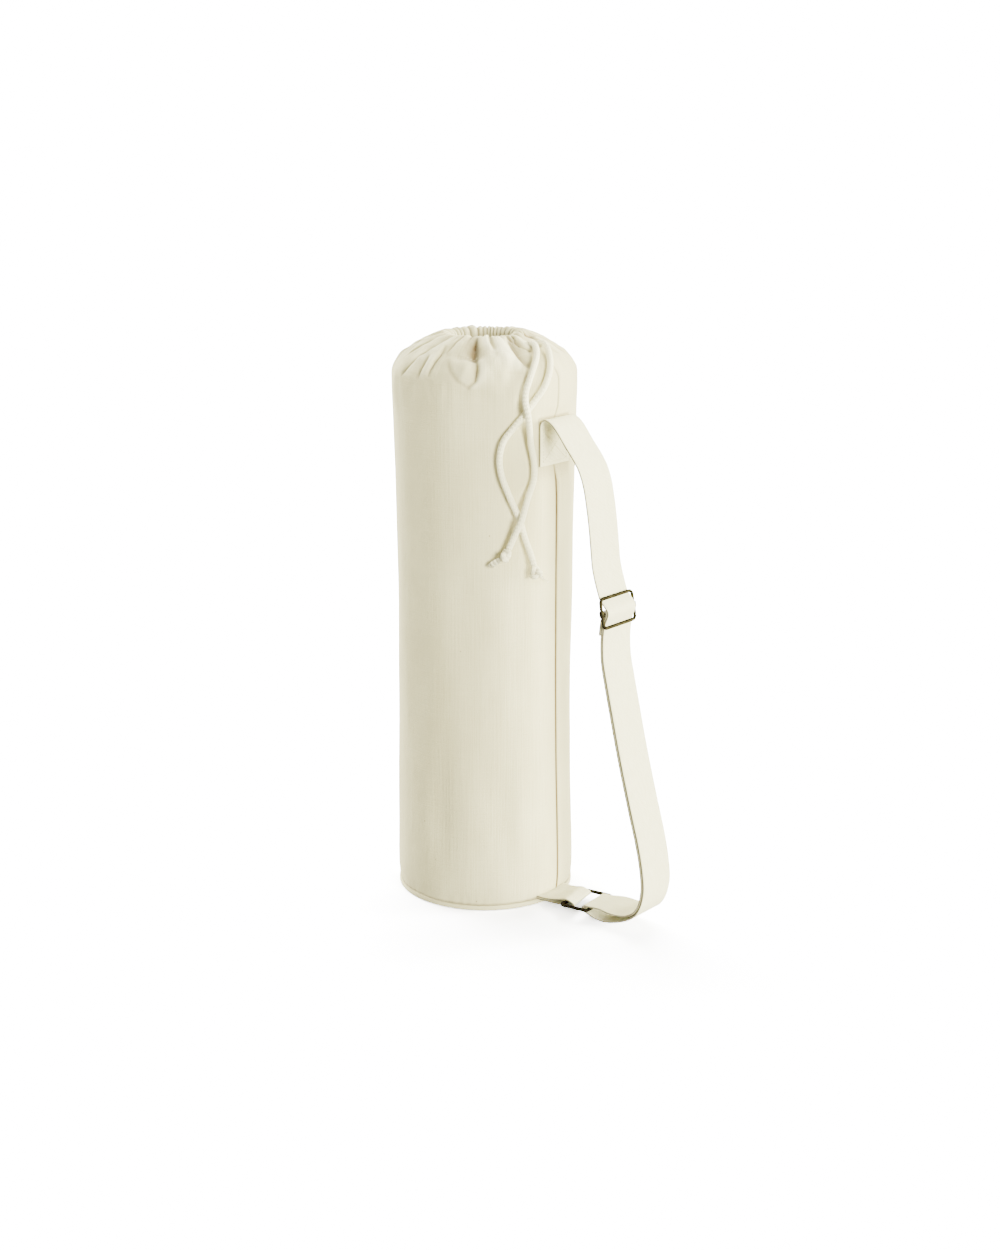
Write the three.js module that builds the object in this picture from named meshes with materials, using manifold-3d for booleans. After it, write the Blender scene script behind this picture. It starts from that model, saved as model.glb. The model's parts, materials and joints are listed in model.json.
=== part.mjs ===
// A bag for a rolled yoga mat, standing by itself: a hollow canvas tube with a gathered drawcord
// mouth, a bound round base, a webbing strap with a wire slider, and a webbing tab with a ring.
// Millimetres, +Z up. The origin is the centre of the base, on the floor. The strap is at +X.
import * as THREE from 'three';
import Module from 'manifold-3d';
import { mergeVertices } from 'three/addons/utils/BufferGeometryUtils.js';

const wasm = await Module();
wasm.setup();

// Canvas body
const bodyRadius = 100;
const bodyHeight = 640;
const cloth = 2;
const gap = 0.3;

// Gathers, folds and dents of the canvas
const gatherCount = 22;
const columnsPerGather = 3;
const gatherDepth = 3;
const foldDepth = 6;
const dentDepth = 3;

// Base
const bindingHeight = 6;
const bindingWidth = 4;
const bindingRound = 1.4;
const baseThickness = 2.2;
const floorLift = 0.2;

// Drawcord
const mouthRadius = 38;
const cordDiameter = 7;
const cordClearance = 0.7;
const slotClearance = 1.1;
const knotDiameter = 16.5;
const frayWidth = 7;

// Webbing strap
const webbingWidth = 50;
const webbing = 2;
const strapReach = 146.5;
const strapCrest = 556;
const crestRise = 8;
const patchHeight = 43;
const tailLength = 28;
const layerGap = 1;
const bendTop = 55.6;

// Slider
const sliderWire = 3.5;
const sliderLength = 31.6;
const sliderEdgeGap = 1.55;
const sliderGap = 0.45;
const sliderCorner = 5;
const sliderOut = 85.4;
const sliderDrop = 183;
const sliderLean = THREE.MathUtils.degToRad(10.8);
const barWire = 3.2;
const collarWall = 0.9;
const collarLength = 6;

// Tab and ring at the base
const tabLength = 44;
const tabFold = 1.7;
const ringWire = 4;
const ringLength = 32;
const ringSetback = 11.2;
const strapSetback = 5;
const ringEdgeGap = 3.8;
const ringCorner = 3.5;
const ringHeight = 11;
const loopGap = 0.6;
const ringYaw = THREE.MathUtils.degToRad(10);
const tabYaw = THREE.MathUtils.degToRad(16);
const ringRoll = THREE.MathUtils.degToRad(5);

// Sizes that follow from those above
const columns = gatherCount * columnsPerGather;
const baseColumns = 40;
const cordRadius = cordDiameter / 2;
const rollRadius = cordRadius + cordClearance + cloth;
const cordRingRadius = mouthRadius + rollRadius;
const rollHeight = bodyHeight - gatherDepth - rollRadius;
const bindingRadius = bodyRadius * 1.005;
const seatX = bodyRadius * 0.966;
const freeX = bodyRadius * 1.03;
const patchX = seatX + gap + webbing / 2;
const patchTop = strapCrest - crestRise;
const layerStep = webbing + gap;
const floorLayer = floorLift + webbing / 2;
const reachX = patchX + strapReach;
const tabRadius = bodyRadius * 0.996 + gap;

// The canvas outside, from above the base binding up to the casing's seam.
// out: share of bodyRadius. up: share of bodyHeight. gather: share of gatherDepth.
const bodyRows = [
  { out: 0.99, up: 0.0, gather: 0 },
  { out: 1.008, up: 0.035, gather: 0 },
  { out: 1.005, up: 0.13, gather: 0 },
  { out: 0.991, up: 0.27, gather: 0 },
  { out: 0.984, up: 0.43, gather: 0 },
  { out: 0.989, up: 0.6, gather: 0 },
  { out: 0.999, up: 0.74, gather: 0 },
  { out: 1.008, up: 0.86, gather: 0.05 },
  { out: 1.014, up: 0.92, gather: 0.25 },
  { out: 1.0, up: 0.939, gather: 0.35 },
  { out: 0.905, up: 0.9608, gather: 0.5 },
  { out: 0.815, up: 0.971, gather: 0.7 },
];

// The casing outside, from its seam inwards over the top, with the columns above. crease: share
// of the folds' depth. layer: share of the cord channel's height between the two layers.
const casingRows = [
  { out: 0.81, up: 0.9716, gather: 0.7, crease: 1, layer: 0 },
  { out: 0.73, up: 0.98, gather: 0.8, crease: 1, layer: 0.9 },
  { out: 0.62, up: 0.989, gather: 0.9, crease: 0.7, layer: 1.2 },
  { out: 0.52, up: 0.994, gather: 1, crease: 0.2, layer: 1.1 },
];

// The roll round the cord. turn: degrees round the cord, 90 on top. gather: share of gatherDepth.
const rollRows = [
  { turn: 90, gather: 1 },
  { turn: 135, gather: 0.9 },
  { turn: 180, gather: 0.6 },
  { turn: 225, gather: 0.3 },
  { turn: 270, gather: 0 },
];

// Folds of the gathered shoulder. angle, width and lean: degrees round the bag. low, high: shares
// of bodyHeight. depth: share of foldDepth, below zero where the cloth bulges out.
const folds = [
  { angle: -54.5, width: 8, lean: 0, low: 0.94, high: 1.0, depth: 0.9 },
  { angle: -58, width: 9, lean: 2, low: 0.915, high: 0.958, depth: -0.45 },
  { angle: -49, width: 5, lean: -3, low: 0.915, high: 0.985, depth: 0.5 },
  { angle: -43.5, width: 5, lean: 2, low: 0.965, high: 1.0, depth: 0.4 },
  { angle: -104, width: 6, lean: 9, low: 0.92, high: 1.0, depth: 0.5 },
  { angle: -117, width: 6, lean: 10, low: 0.955, high: 1.0, depth: 0.4 },
  { angle: -93, width: 5, lean: 1, low: 0.945, high: 0.99, depth: 0.4 },
  { angle: -27, width: 7, lean: -8, low: 0.94, high: 0.995, depth: 0.7 },
  { angle: 26, width: 6, lean: 4, low: 0.96, high: 1.0, depth: 0.4 },
  { angle: 52, width: 7, lean: 6, low: 0.925, high: 0.995, depth: 0.6 },
  { angle: 92, width: 6, lean: -6, low: 0.93, high: 1.0, depth: 0.5 },
  { angle: 134, width: 8, lean: 5, low: 0.92, high: 0.99, depth: 0.7 },
  { angle: 176, width: 6, lean: -4, low: 0.94, high: 1.0, depth: 0.5 },
  { angle: 212, width: 7, lean: 6, low: 0.93, high: 0.99, depth: 0.6 },
];

// Soft dents of the upright wall. angle, width: degrees. mid, half: shares of bodyHeight.
// depth: share of dentDepth, below zero where the cloth bulges out.
const dents = [
  { angle: -80, width: 14, mid: 0.17, half: 0.16, depth: 0.7 },
  { angle: -58, width: 12, mid: 0.2, half: 0.18, depth: -0.4 },
  { angle: -38, width: 14, mid: 0.16, half: 0.15, depth: 0.6 },
  { angle: -66, width: 16, mid: 0.5, half: 0.22, depth: 0.5 },
  { angle: -100, width: 16, mid: 0.42, half: 0.3, depth: 0.5 },
  { angle: -28, width: 12, mid: 0.55, half: 0.3, depth: 0.4 },
  { angle: 36, width: 18, mid: 0.3, half: 0.26, depth: 0.8 },
  { angle: 78, width: 16, mid: 0.6, half: 0.26, depth: 0.6 },
  { angle: 112, width: 18, mid: 0.22, half: 0.2, depth: 0.8 },
  { angle: 158, width: 18, mid: 0.55, half: 0.3, depth: 0.7 },
  { angle: 200, width: 16, mid: 0.25, half: 0.22, depth: 0.6 },
  { angle: 228, width: 16, mid: 0.62, half: 0.26, depth: 0.6 },
];

// The strap's outer layer from the side, between the sewn patch and the slider.
// out: share of the way out from the patch to the slider. up: share of the way up to the crest.
const archRows = [
  { out: 0.021, up: 0.986 },
  { out: 0.077, up: 1.0 },
  { out: 0.137, up: 0.992 },
  { out: 0.214, up: 0.967 },
  { out: 0.403, up: 0.86 },
  { out: 0.54, up: 0.784 },
  { out: 0.617, up: 0.7295 },
  { out: 0.686, up: 0.648 },
  { out: 0.733, up: 0.55 },
  { out: 0.781, up: 0.416 },
  { out: 0.815, up: 0.284 },
  { out: 0.852, up: 0.155 },
];

// Below the slider. out: share of the way from the slider to the farthest point. up: share of
// the height of the slider's lower bar.
const runRows = [
  { out: -0.08, up: 0.953 },
  { out: -0.058, up: 0.886 },
  { out: 0.02, up: 0.8275 },
  { out: 0.141, up: 0.7456 },
  { out: 0.373, up: 0.5906 },
  { out: 0.663, up: 0.418 },
  { out: 0.855, up: 0.31 },
  { out: 0.964, up: 0.2266 },
];

// The bend above the floor: the outer layer going in to the ring, and the inner layer coming
// back. out: share of the way from the fold at the ring to the farthest point. up: share of
// bendTop.
const bendRows = [
  { out: 0.968, up: 0.715 },
  { out: 0.916, up: 0.517 },
  { out: 0.834, up: 0.36 },
  { out: 0.675, up: 0.213 },
  { out: 0.525, up: 0.126 },
  { out: 0.35, up: 0.064 },
  { out: 0.165, up: 0.042 },
];
const innerBendRows = [
  { out: 0.114, up: 0.256 },
  { out: 0.3, up: 0.295 },
  { out: 0.526, up: 0.287 },
  { out: 0.679, up: 0.322 },
  { out: 0.806, up: 0.412 },
  { out: 0.887, up: 0.546 },
  { out: 0.939, up: 0.733 },
];

// The tab's two layers, from the bag past the ring to the fold. out: share of the tab's reach.
// upper, lower: shares of the way from the seam's level to the level of that layer at the ring.
const tabRows = [
  { out: 0, upper: 0, lower: 0 },
  { out: 0.3, upper: 0.12, lower: 0.3 },
  { out: 0.56, upper: 0.6, lower: 0.75 },
  { out: 0.73, upper: 1, lower: 1 },
  { out: 0.84, upper: 1, lower: 1 },
];

// The cords' routes. angle: degrees round the bag. out: from bodyRadius. down: from bodyHeight.
const cordRouteA = [
  { angle: -3, out: -42, down: 11.6 },
  { angle: -3.5, out: -34, down: 10.4 },
  { angle: -4.8, out: -26, down: 7.6 },
  { angle: -8.2, out: -17.5, down: 11 },
  { angle: -13, out: -8.8, down: 19.5 },
  { angle: -18.5, out: -0.8, down: 28 },
  { angle: -23, out: 4.8, down: 39 },
  { angle: -26, out: 7.4, down: 51 },
  { angle: -26.8, out: 9.5, down: 62 },
  { angle: -26, out: 13, down: 76 },
  { angle: -24.2, out: 9.5, down: 92 },
  { angle: -22.2, out: 6, down: 110 },
  { angle: -19.9, out: 5, down: 128 },
  { angle: -19.7, out: 4.6, down: 145 },
  { angle: -24.5, out: 6.5, down: 167 },
  { angle: -29.2, out: 11.4, down: 188 },
  { angle: -33.4, out: 8.2, down: 208 },
  { angle: -36.2, out: 8, down: 219.5 },
];
const cordRouteB = [
  { angle: 8, out: -42, down: 11.6 },
  { angle: 7.5, out: -34, down: 10.4 },
  { angle: 6.6, out: -26, down: 7.6 },
  { angle: 3.8, out: -17.5, down: 11 },
  { angle: -0.5, out: -8.8, down: 19.5 },
  { angle: -5.2, out: -0.8, down: 28 },
  { angle: -10, out: 4.8, down: 39 },
  { angle: -14, out: 7, down: 49 },
  { angle: -19.8, out: 6.2, down: 62 },
  { angle: -26, out: 5.4, down: 75.5 },
  { angle: -33, out: 5.2, down: 89.5 },
  { angle: -38.8, out: 5, down: 103 },
  { angle: -41.2, out: 4.7, down: 120 },
  { angle: -40.2, out: 4.4, down: 139 },
  { angle: -35.8, out: 4, down: 161 },
  { angle: -29.2, out: 3.6, down: 188 },
  { angle: -25.4, out: 3.8, down: 210 },
  { angle: -21.6, out: 6, down: 231 },
  { angle: -20.6, out: 8, down: 240.5 },
];
const frayTip = { angle: -47.5, out: 4.6, down: 239 };
const slotRows = 5;

function clothMaterial(color) {
  return new THREE.MeshStandardMaterial({ color, roughness: 0.93, metalness: 0 });
}

const canvas = clothMaterial(0xe4dcc6);
const webbingCloth = clothMaterial(0xe9e3cf);
const cordCotton = clothMaterial(0xefe9d9);
const brass = new THREE.MeshStandardMaterial({ color: 0x5a4d2e, roughness: 0.42, metalness: 0.9 });

const bag = new THREE.Group();

function addPiece(name, geometry, surface) {
  const mesh = new THREE.Mesh(geometry, surface);
  mesh.name = name;
  bag.add(mesh);
}

function solidOf(geometry) {
  const plain = geometry.clone();
  plain.deleteAttribute('normal');
  plain.deleteAttribute('uv');
  const merged = mergeVertices(plain, 1e-4);
  return new wasm.Manifold(new wasm.Mesh({
    numProp: 3,
    vertProperties: new Float32Array(merged.attributes.position.array),
    triVerts: new Uint32Array(merged.index.array),
  }));
}

function geometryOf(solid) {
  const mesh = solid.getMesh();
  const geometry = new THREE.BufferGeometry();
  geometry.setAttribute('position', new THREE.BufferAttribute(mesh.vertProperties, 3));
  geometry.setIndex(new THREE.BufferAttribute(mesh.triVerts, 1));
  geometry.computeVertexNormals();
  return geometry;
}

// Moves each vertex of a geometry to where the given function puts it
function reshape(geometry, placeOf) {
  const place = geometry.attributes.position;
  const vertex = new THREE.Vector3();
  for (let index = 0; index < place.count; index += 1) {
    vertex.fromBufferAttribute(place, index);
    placeOf(vertex, index);
    place.setXYZ(index, vertex.x, vertex.y, vertex.z);
  }
  geometry.computeVertexNormals();
  return geometry;
}

// A smooth hump: one at the middle, and zero from the given distance on
function hump(distance, reach) {
  const share = Math.min(Math.abs(distance) / reach, 1);
  return 0.5 + 0.5 * Math.cos(Math.PI * share);
}

function degreesApart(a, b) {
  return THREE.MathUtils.euclideanModulo(a - b + 180, 360) - 180;
}

// How far the folds and dents move the cloth outwards along its normal
function creaseAt(degrees, height) {
  const level = height / bodyHeight;
  let move = 0;
  for (const fold of folds) {
    if (level > fold.low && level < fold.high) {
      const along = (level - fold.low) / (fold.high - fold.low);
      const middle = fold.angle + fold.lean * (along - 0.5);
      const across = hump(degreesApart(degrees, middle), fold.width);
      move -= fold.depth * foldDepth * across * Math.sin(Math.PI * along);
    }
  }
  for (const dent of dents) {
    const across = hump(degreesApart(degrees, dent.angle), dent.width);
    move -= dent.depth * dentDepth * across * hump(level - dent.mid, dent.half);
  }
  return move;
}

// The gathers: a valley, a slope and a ridge for each, not all of them equally high
function gatherAt(column) {
  const order = column % columnsPerGather;
  const gather = Math.floor(column / columnsPerGather) % gatherCount;
  const size = 0.72 + 0.28 * Math.sin(2.4 * gather + 0.6);
  return size * gatherDepth * order / (columnsPerGather - 1);
}

// Gives each row of a cloth section the direction in which the cloth faces
function facing(rows) {
  return rows.map((row, index) => {
    const before = rows[Math.max(index - 1, 0)];
    const after = rows[Math.min(index + 1, rows.length - 1)];
    const run = Math.hypot(after.r - before.r, after.z - before.z);
    return { ...row, nr: (after.z - before.z) / run, nz: (before.r - after.r) / run };
  });
}

// The farthest that the wall may reach towards the strap: the sewn patch holds it flat, and it
// is free again one patch height above and below
function patchLimit(height) {
  const away = Math.abs(height - patchTop + patchHeight / 2);
  const free = THREE.MathUtils.smoothstep(away, patchHeight, 2.5 * patchHeight);
  return THREE.MathUtils.lerp(seatX, freeX, free);
}

// A cloth wall turned round the Z axis from its outside rows, then gathered, folded and dented
function clothWall(outsideRows) {
  const outside = facing(outsideRows).map((row) => ({ ...row, level: row.z, depth: 0 }));
  const inside = outside.map((row) => ({
    ...row, r: row.r - cloth * row.nr, z: row.z - cloth * row.nz, depth: cloth,
  })).reverse();
  const section = [...outside, ...inside, outside[0]];
  const outline = section.map((row) => new THREE.Vector2(row.r, row.z));
  const geometry = new THREE.LatheGeometry(outline, columns);
  return reshape(geometry, (vertex, index) => {
    const row = section[index % section.length];
    const column = Math.floor(index / section.length) % columns;
    const turn = 2 * Math.PI * column / columns;
    const crease = row.crease * creaseAt(THREE.MathUtils.radToDeg(turn), row.level);
    const move = row.gather * gatherAt(column) + crease;
    const r = row.r + row.nr * move;
    const limit = patchLimit(row.level) - row.depth;
    vertex.set(Math.min(r * Math.cos(turn), limit), r * Math.sin(turn), row.z + row.nz * move);
  });
}

function makeBodyPanel() {
  const low = bindingHeight + gap;
  return clothWall(bodyRows.map((row) => ({
    r: row.out * bodyRadius, z: Math.max(row.up * bodyHeight, low), gather: row.gather, crease: 1,
  })));
}

// The casing: over the top, round the cord, and back below as the folded-in layer
function makeCasing(cordSlots) {
  const over = facing(casingRows.map((row) => ({
    ...row, r: row.out * bodyRadius, z: row.up * bodyHeight,
  })));
  const roll = rollRows.map((row) => {
    const turn = THREE.MathUtils.degToRad(row.turn);
    return {
      r: cordRingRadius + rollRadius * Math.cos(turn),
      z: rollHeight + rollRadius * Math.sin(turn),
      gather: row.gather,
      crease: 0,
    };
  });
  const under = over.map((row) => {
    const depth = THREE.MathUtils.lerp(2 * cloth + gap, 2 * rollRadius, row.layer);
    return { r: row.r - depth * row.nr, z: row.z - depth * row.nz, gather: 0, crease: -row.crease };
  }).reverse();
  let casing = solidOf(clothWall([...over, ...roll, ...under]));
  for (const slot of cordSlots) {
    casing = casing.subtract(solidOf(slot));
  }
  return geometryOf(casing);
}

function makeBinding() {
  const inner = bindingRadius - bindingWidth;
  const outline = [
    [inner, floorLift],
    [bindingRadius - bindingRound, floorLift],
    [bindingRadius, floorLift + bindingRound],
    [bindingRadius, bindingHeight - bindingRound],
    [bindingRadius - bindingRound, bindingHeight],
    [inner, bindingHeight],
    [inner, floorLift],
  ].map(([r, z]) => new THREE.Vector2(r, z));
  return new THREE.LatheGeometry(outline, baseColumns).rotateX(Math.PI / 2);
}

function makeBase() {
  const radius = bindingRadius - bindingWidth - gap;
  const disc = new THREE.CylinderGeometry(radius, radius, baseThickness, baseColumns);
  return disc.rotateX(Math.PI / 2).translate(0, 0, baseThickness / 2);
}

// A smooth line through chosen points, with two steps between neighbours
const stepsPerRow = 2;
function smoothLine(points) {
  const stops = points.map((point) => new THREE.Vector3(point.x, point.y, 0));
  const curve = new THREE.CatmullRomCurve3(stops, false, 'centripetal');
  const steps = (points.length - 1) * stepsPerRow;
  return curve.getPoints(steps).map((point) => new THREE.Vector2(point.x, point.y));
}

// The line that runs beside another, to its left. distanceAt gives the distance at each point.
function besideLine(line, distanceAt) {
  return line.map((point, index) => {
    const before = line[Math.max(index - 1, 0)];
    const after = line[Math.min(index + 1, line.length - 1)];
    const way = after.clone().sub(before).normalize();
    const distance = distanceAt(index);
    return new THREE.Vector2(point.x - way.y * distance, point.y + way.x * distance);
  });
}

// Points on a circle, from one angle to another in degrees
function arcLine(centre, radius, from, to, steps) {
  return Array.from({ length: steps + 1 }, (unused, index) => {
    const turn = THREE.MathUtils.degToRad(THREE.MathUtils.lerp(from, to, index / steps));
    return new THREE.Vector2(centre.x + radius * Math.cos(turn), centre.y + radius * Math.sin(turn));
  });
}

// Webbing along a line in the XZ plane, as wide as the webbing along Y
function webbingAlong(line, steps) {
  const left = besideLine(line, () => webbing / 2);
  const right = besideLine(line, () => -webbing / 2).reverse();
  const shape = new THREE.Shape([...left, ...right]);
  const options = { depth: webbingWidth, steps, bevelEnabled: false };
  const geometry = new THREE.ExtrudeGeometry(shape, options);
  return geometry.rotateX(Math.PI / 2).translate(0, webbingWidth / 2, 0);
}

// The slider's bars from the side, and a point of webbing that passes one of them
const sliderWay = new THREE.Vector2(Math.sin(sliderLean), -Math.cos(sliderLean));
const sliderFace = new THREE.Vector2(Math.cos(sliderLean), Math.sin(sliderLean));
const topBar = new THREE.Vector2(patchX + sliderOut, strapCrest - sliderDrop);
const middleBar = topBar.clone().addScaledVector(sliderWay, sliderLength / 2);
const lowerBar = topBar.clone().addScaledVector(sliderWay, sliderLength);
const sliderInside = webbingWidth + 2 * sliderEdgeGap;
const sideWireY = (sliderInside + sliderWire) / 2;

function passBar(bar, radius, side, turn) {
  return bar.clone()
    .addScaledVector(sliderWay, -side * radius * Math.sin(turn))
    .addScaledVector(sliderFace, side * radius * Math.cos(turn));
}

// The ring's two bars from the side, and the direction in which they lie
const barWay = new THREE.Vector3(-Math.tan(ringYaw), 1, -Math.tan(ringRoll)).normalize();
const ringSpan = ringLength / Math.sqrt(1 - barWay.x * barWay.x);
const tabEnd = bodyRadius + tabLength;
const ringInner = new THREE.Vector2(tabEnd - ringSetback, ringHeight);
const ringOuter = new THREE.Vector2(ringInner.x + ringSpan, ringHeight);
const ringPass = ringWire / 2 + loopGap + webbing / 2;
const strapFold = new THREE.Vector2(ringOuter.x - strapSetback, ringHeight);

// The webbing near the ring lies askew with it, the tab's loose fold more than the ring
function askew(vertex, yaw) {
  const { lerp, smoothstep } = THREE.MathUtils;
  const out = smoothstep(vertex.x, lerp(bodyRadius, tabEnd, 0.1), ringInner.x - ringWire / 2);
  const back = 1 - smoothstep(vertex.x, ringOuter.x + ringWire, ringOuter.x + ringLength);
  const low = 1 - smoothstep(vertex.z, bendTop / 2, bendTop);
  const share = out * back * low;
  vertex.z -= vertex.y * Math.tan(ringRoll) * share;
  vertex.x -= vertex.y * Math.tan(yaw) * share;
}

// The strap: up the patch, over the crest, through the slider, down and round the bend, through
// the ring, and back inside itself to the slider's middle bar, where its end is sewn down
function makeStrap() {
  const { lerp } = THREE.MathUtils;
  const framePass = sliderWire / 2 + sliderGap + webbing / 2;
  const innerPass = barWire / 2 + sliderGap + webbing / 2;
  const outerPass = innerPass + layerStep;
  const cross = Math.asin((framePass + outerPass) / (sliderLength / 2));
  const control = [
    new THREE.Vector2(patchX, patchTop - patchHeight / 2),
    new THREE.Vector2(patchX, patchTop - patchHeight / 6),
    new THREE.Vector2(patchX, patchTop),
    ...archRows.map((row) => new THREE.Vector2(
      lerp(patchX, topBar.x, row.out), lerp(topBar.y, strapCrest, row.up))),
    passBar(topBar, framePass, -1, cross * 0.2),
    passBar(topBar, framePass, -1, cross),
    passBar(middleBar, outerPass, 1, cross),
    passBar(middleBar, outerPass, 1, cross / 2),
  ];
  const middleStop = control.length;
  control.push(
    passBar(middleBar, outerPass, 1, 0),
    passBar(middleBar, outerPass, 1, -cross / 2),
    passBar(middleBar, outerPass, 1, -cross),
    passBar(lowerBar, framePass, -1, -cross),
    passBar(lowerBar, framePass, -1, -cross / 2),
  );
  const lowerStop = control.length;
  control.push(
    passBar(lowerBar, framePass, -1, 0),
    ...runRows.map((row) => new THREE.Vector2(
      lerp(lowerBar.x, reachX, row.out), lowerBar.y * row.up)),
  );
  const bendStop = control.length;
  const bendPoint = (row) => new THREE.Vector2(
    lerp(strapFold.x, reachX, row.out), lerp(floorLayer, bendTop, row.up));
  control.push(new THREE.Vector2(reachX, bendTop), ...bendRows.map(bendPoint));
  const outer = smoothLine(control);
  const middleStep = middleStop * stepsPerRow;
  const lowerStep = lowerStop * stepsPerRow;
  const bendStep = bendStop * stepsPerRow;
  const shared = outer.slice(middleStep, bendStep + 1);
  const apart = (index) => -lerp(layerStep, webbing + layerGap,
    THREE.MathUtils.smoothstep(index + middleStep, lowerStep + 2, lowerStep + 8));
  const inner = besideLine(shared, apart).reverse();
  const ringTurn = arcLine(strapFold, ringPass, 280, 80, 7);
  const back = [ringTurn.at(-1), ...innerBendRows.map(bendPoint), inner[0]];
  const backLine = smoothLine(back).slice(1, -1);
  const lean = THREE.MathUtils.radToDeg(sliderLean);
  const barTurn = arcLine(middleBar, innerPass, lean + 30, lean + 190, 6);
  const tailStart = lowerStep - middleStep;
  const tailSteps = shared.slice(tailStart).findIndex(
    (point) => point.distanceTo(middleBar) > tailLength);
  const tailApart = 2 * layerStep + layerGap / 2;
  const tail = besideLine(shared, () => -tailApart).slice(tailStart - 1, tailStart + tailSteps);
  const start = new THREE.Vector2(patchX, patchTop - patchHeight);
  const line = [start, ...outer, ...ringTurn, ...backLine, ...inner, ...barTurn, ...tail];
  return reshape(webbingAlong(line, 1), (vertex) => askew(vertex, ringYaw));
}

function makeTab() {
  const seamLevel = bindingHeight + gap + webbing + gap / 2;
  const upperSeam = seamLevel + layerStep / 2;
  const lowerSeam = seamLevel - layerStep / 2;
  const fold = new THREE.Vector2(tabEnd - tabFold - webbing / 2, ringHeight);
  const length = fold.x - tabRadius;
  const layer = (share, seam, level) => tabRows.map((row) => new THREE.Vector2(
    tabRadius + row.out * length, THREE.MathUtils.lerp(seam, level, row[share])));
  const upper = layer('upper', upperSeam, ringHeight + ringPass);
  const lower = layer('lower', lowerSeam, ringHeight - ringPass).reverse();
  const turn = arcLine(fold, tabFold, 90, -90, 6);
  const geometry = webbingAlong([...smoothLine([...upper, turn[0]]).slice(0, -1), ...turn,
    ...smoothLine([turn.at(-1), ...lower]).slice(1)], 4);
  return reshape(geometry, (vertex) => {
    const near = 1 - THREE.MathUtils.smoothstep(vertex.x, bodyRadius, bodyRadius + tabLength / 2);
    const sink = tabRadius - Math.sqrt(tabRadius * tabRadius - vertex.y * vertex.y);
    askew(vertex, tabYaw);
    vertex.x -= near * sink;
  });
}

// A closed frame of wire: two long bars along X and two short ones along Y, round corners
function makeWireFrame(width, length, wire, corner) {
  const edge = wire * (1 - Math.SQRT1_2);
  const rounded = (Outline, grow) => {
    const halfWidth = width / 2 + grow;
    const halfLength = length / 2 + grow;
    const radius = Math.max(corner + grow, 1);
    const outline = new Outline();
    const corners = [[1, -1, -90], [1, 1, 0], [-1, 1, 90], [-1, -1, 180]];
    for (const [x, y, from] of corners) {
      const start = THREE.MathUtils.degToRad(from);
      const centreX = x * (halfWidth - radius);
      const centreY = y * (halfLength - radius);
      outline.absarc(centreX, centreY, radius, start, start + Math.PI / 2, false);
    }
    outline.closePath();
    return outline;
  };
  const shape = rounded(THREE.Shape, wire / 2 - edge);
  shape.holes.push(rounded(THREE.Path, edge - wire / 2));
  const depth = wire - 2 * edge;
  const options = {
    depth, bevelEnabled: true, bevelSize: edge, bevelThickness: edge, bevelSegments: 1,
    curveSegments: 3,
  };
  return new THREE.ExtrudeGeometry(shape, options).translate(0, 0, -depth / 2);
}

// The slider lies across the strap, leaning out with it
const sliderPlace = new THREE.Matrix4().makeBasis(
  new THREE.Vector3(0, 1, 0),
  new THREE.Vector3(sliderWay.x, 0, sliderWay.y),
  new THREE.Vector3(-sliderFace.x, 0, -sliderFace.y),
).setPosition(middleBar.x, 0, middleBar.y);

function makeSliderFrame() {
  const frame = makeWireFrame(2 * sideWireY, sliderLength, sliderWire, sliderCorner);
  return frame.applyMatrix4(sliderPlace);
}

function makeSliderBar() {
  const bore = sliderWire / 2 + gap;
  const rim = bore + collarWall;
  const reach = sideWireY - bore - collarWall / 2;
  let bar = solidOf(new THREE.CylinderGeometry(barWire / 2, barWire / 2, 2 * reach, 12)
    .rotateZ(Math.PI / 2));
  const half = collarLength / 2;
  const outline = [[bore, -half], [rim, -half], [rim, half], [bore, half], [bore, -half]]
    .map(([r, z]) => new THREE.Vector2(r, z));
  for (const side of [-1, 1]) {
    const collar = new THREE.LatheGeometry(outline, 12).translate(side * sideWireY, 0, 0);
    bar = bar.add(solidOf(collar));
  }
  return geometryOf(bar).applyMatrix4(sliderPlace);
}

function makeRing() {
  const along = new THREE.Vector3(1, 0, 0);
  along.addScaledVector(barWay, -barWay.x).normalize();
  const place = new THREE.Matrix4().makeBasis(
    barWay, along, new THREE.Vector3().crossVectors(barWay, along));
  place.setPosition((ringInner.x + ringOuter.x) / 2, 0, ringHeight);
  const width = webbingWidth / barWay.y + 2 * ringEdgeGap + ringWire;
  return makeWireFrame(width, ringLength, ringWire, ringCorner).applyMatrix4(place);
}

function routePoint(row) {
  const turn = THREE.MathUtils.degToRad(row.angle);
  const r = bodyRadius + row.out;
  return new THREE.Vector3(r * Math.cos(turn), r * Math.sin(turn), bodyHeight - row.down);
}

function cordAlong(points, radius, steps) {
  const section = new THREE.Shape(arcLine({ x: 0, y: 0 }, radius, 0, 315, 7));
  const extrudePath = new THREE.CatmullRomCurve3(points, false, 'centripetal');
  return new THREE.ExtrudeGeometry(section, { steps, extrudePath, bevelEnabled: false });
}

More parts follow.
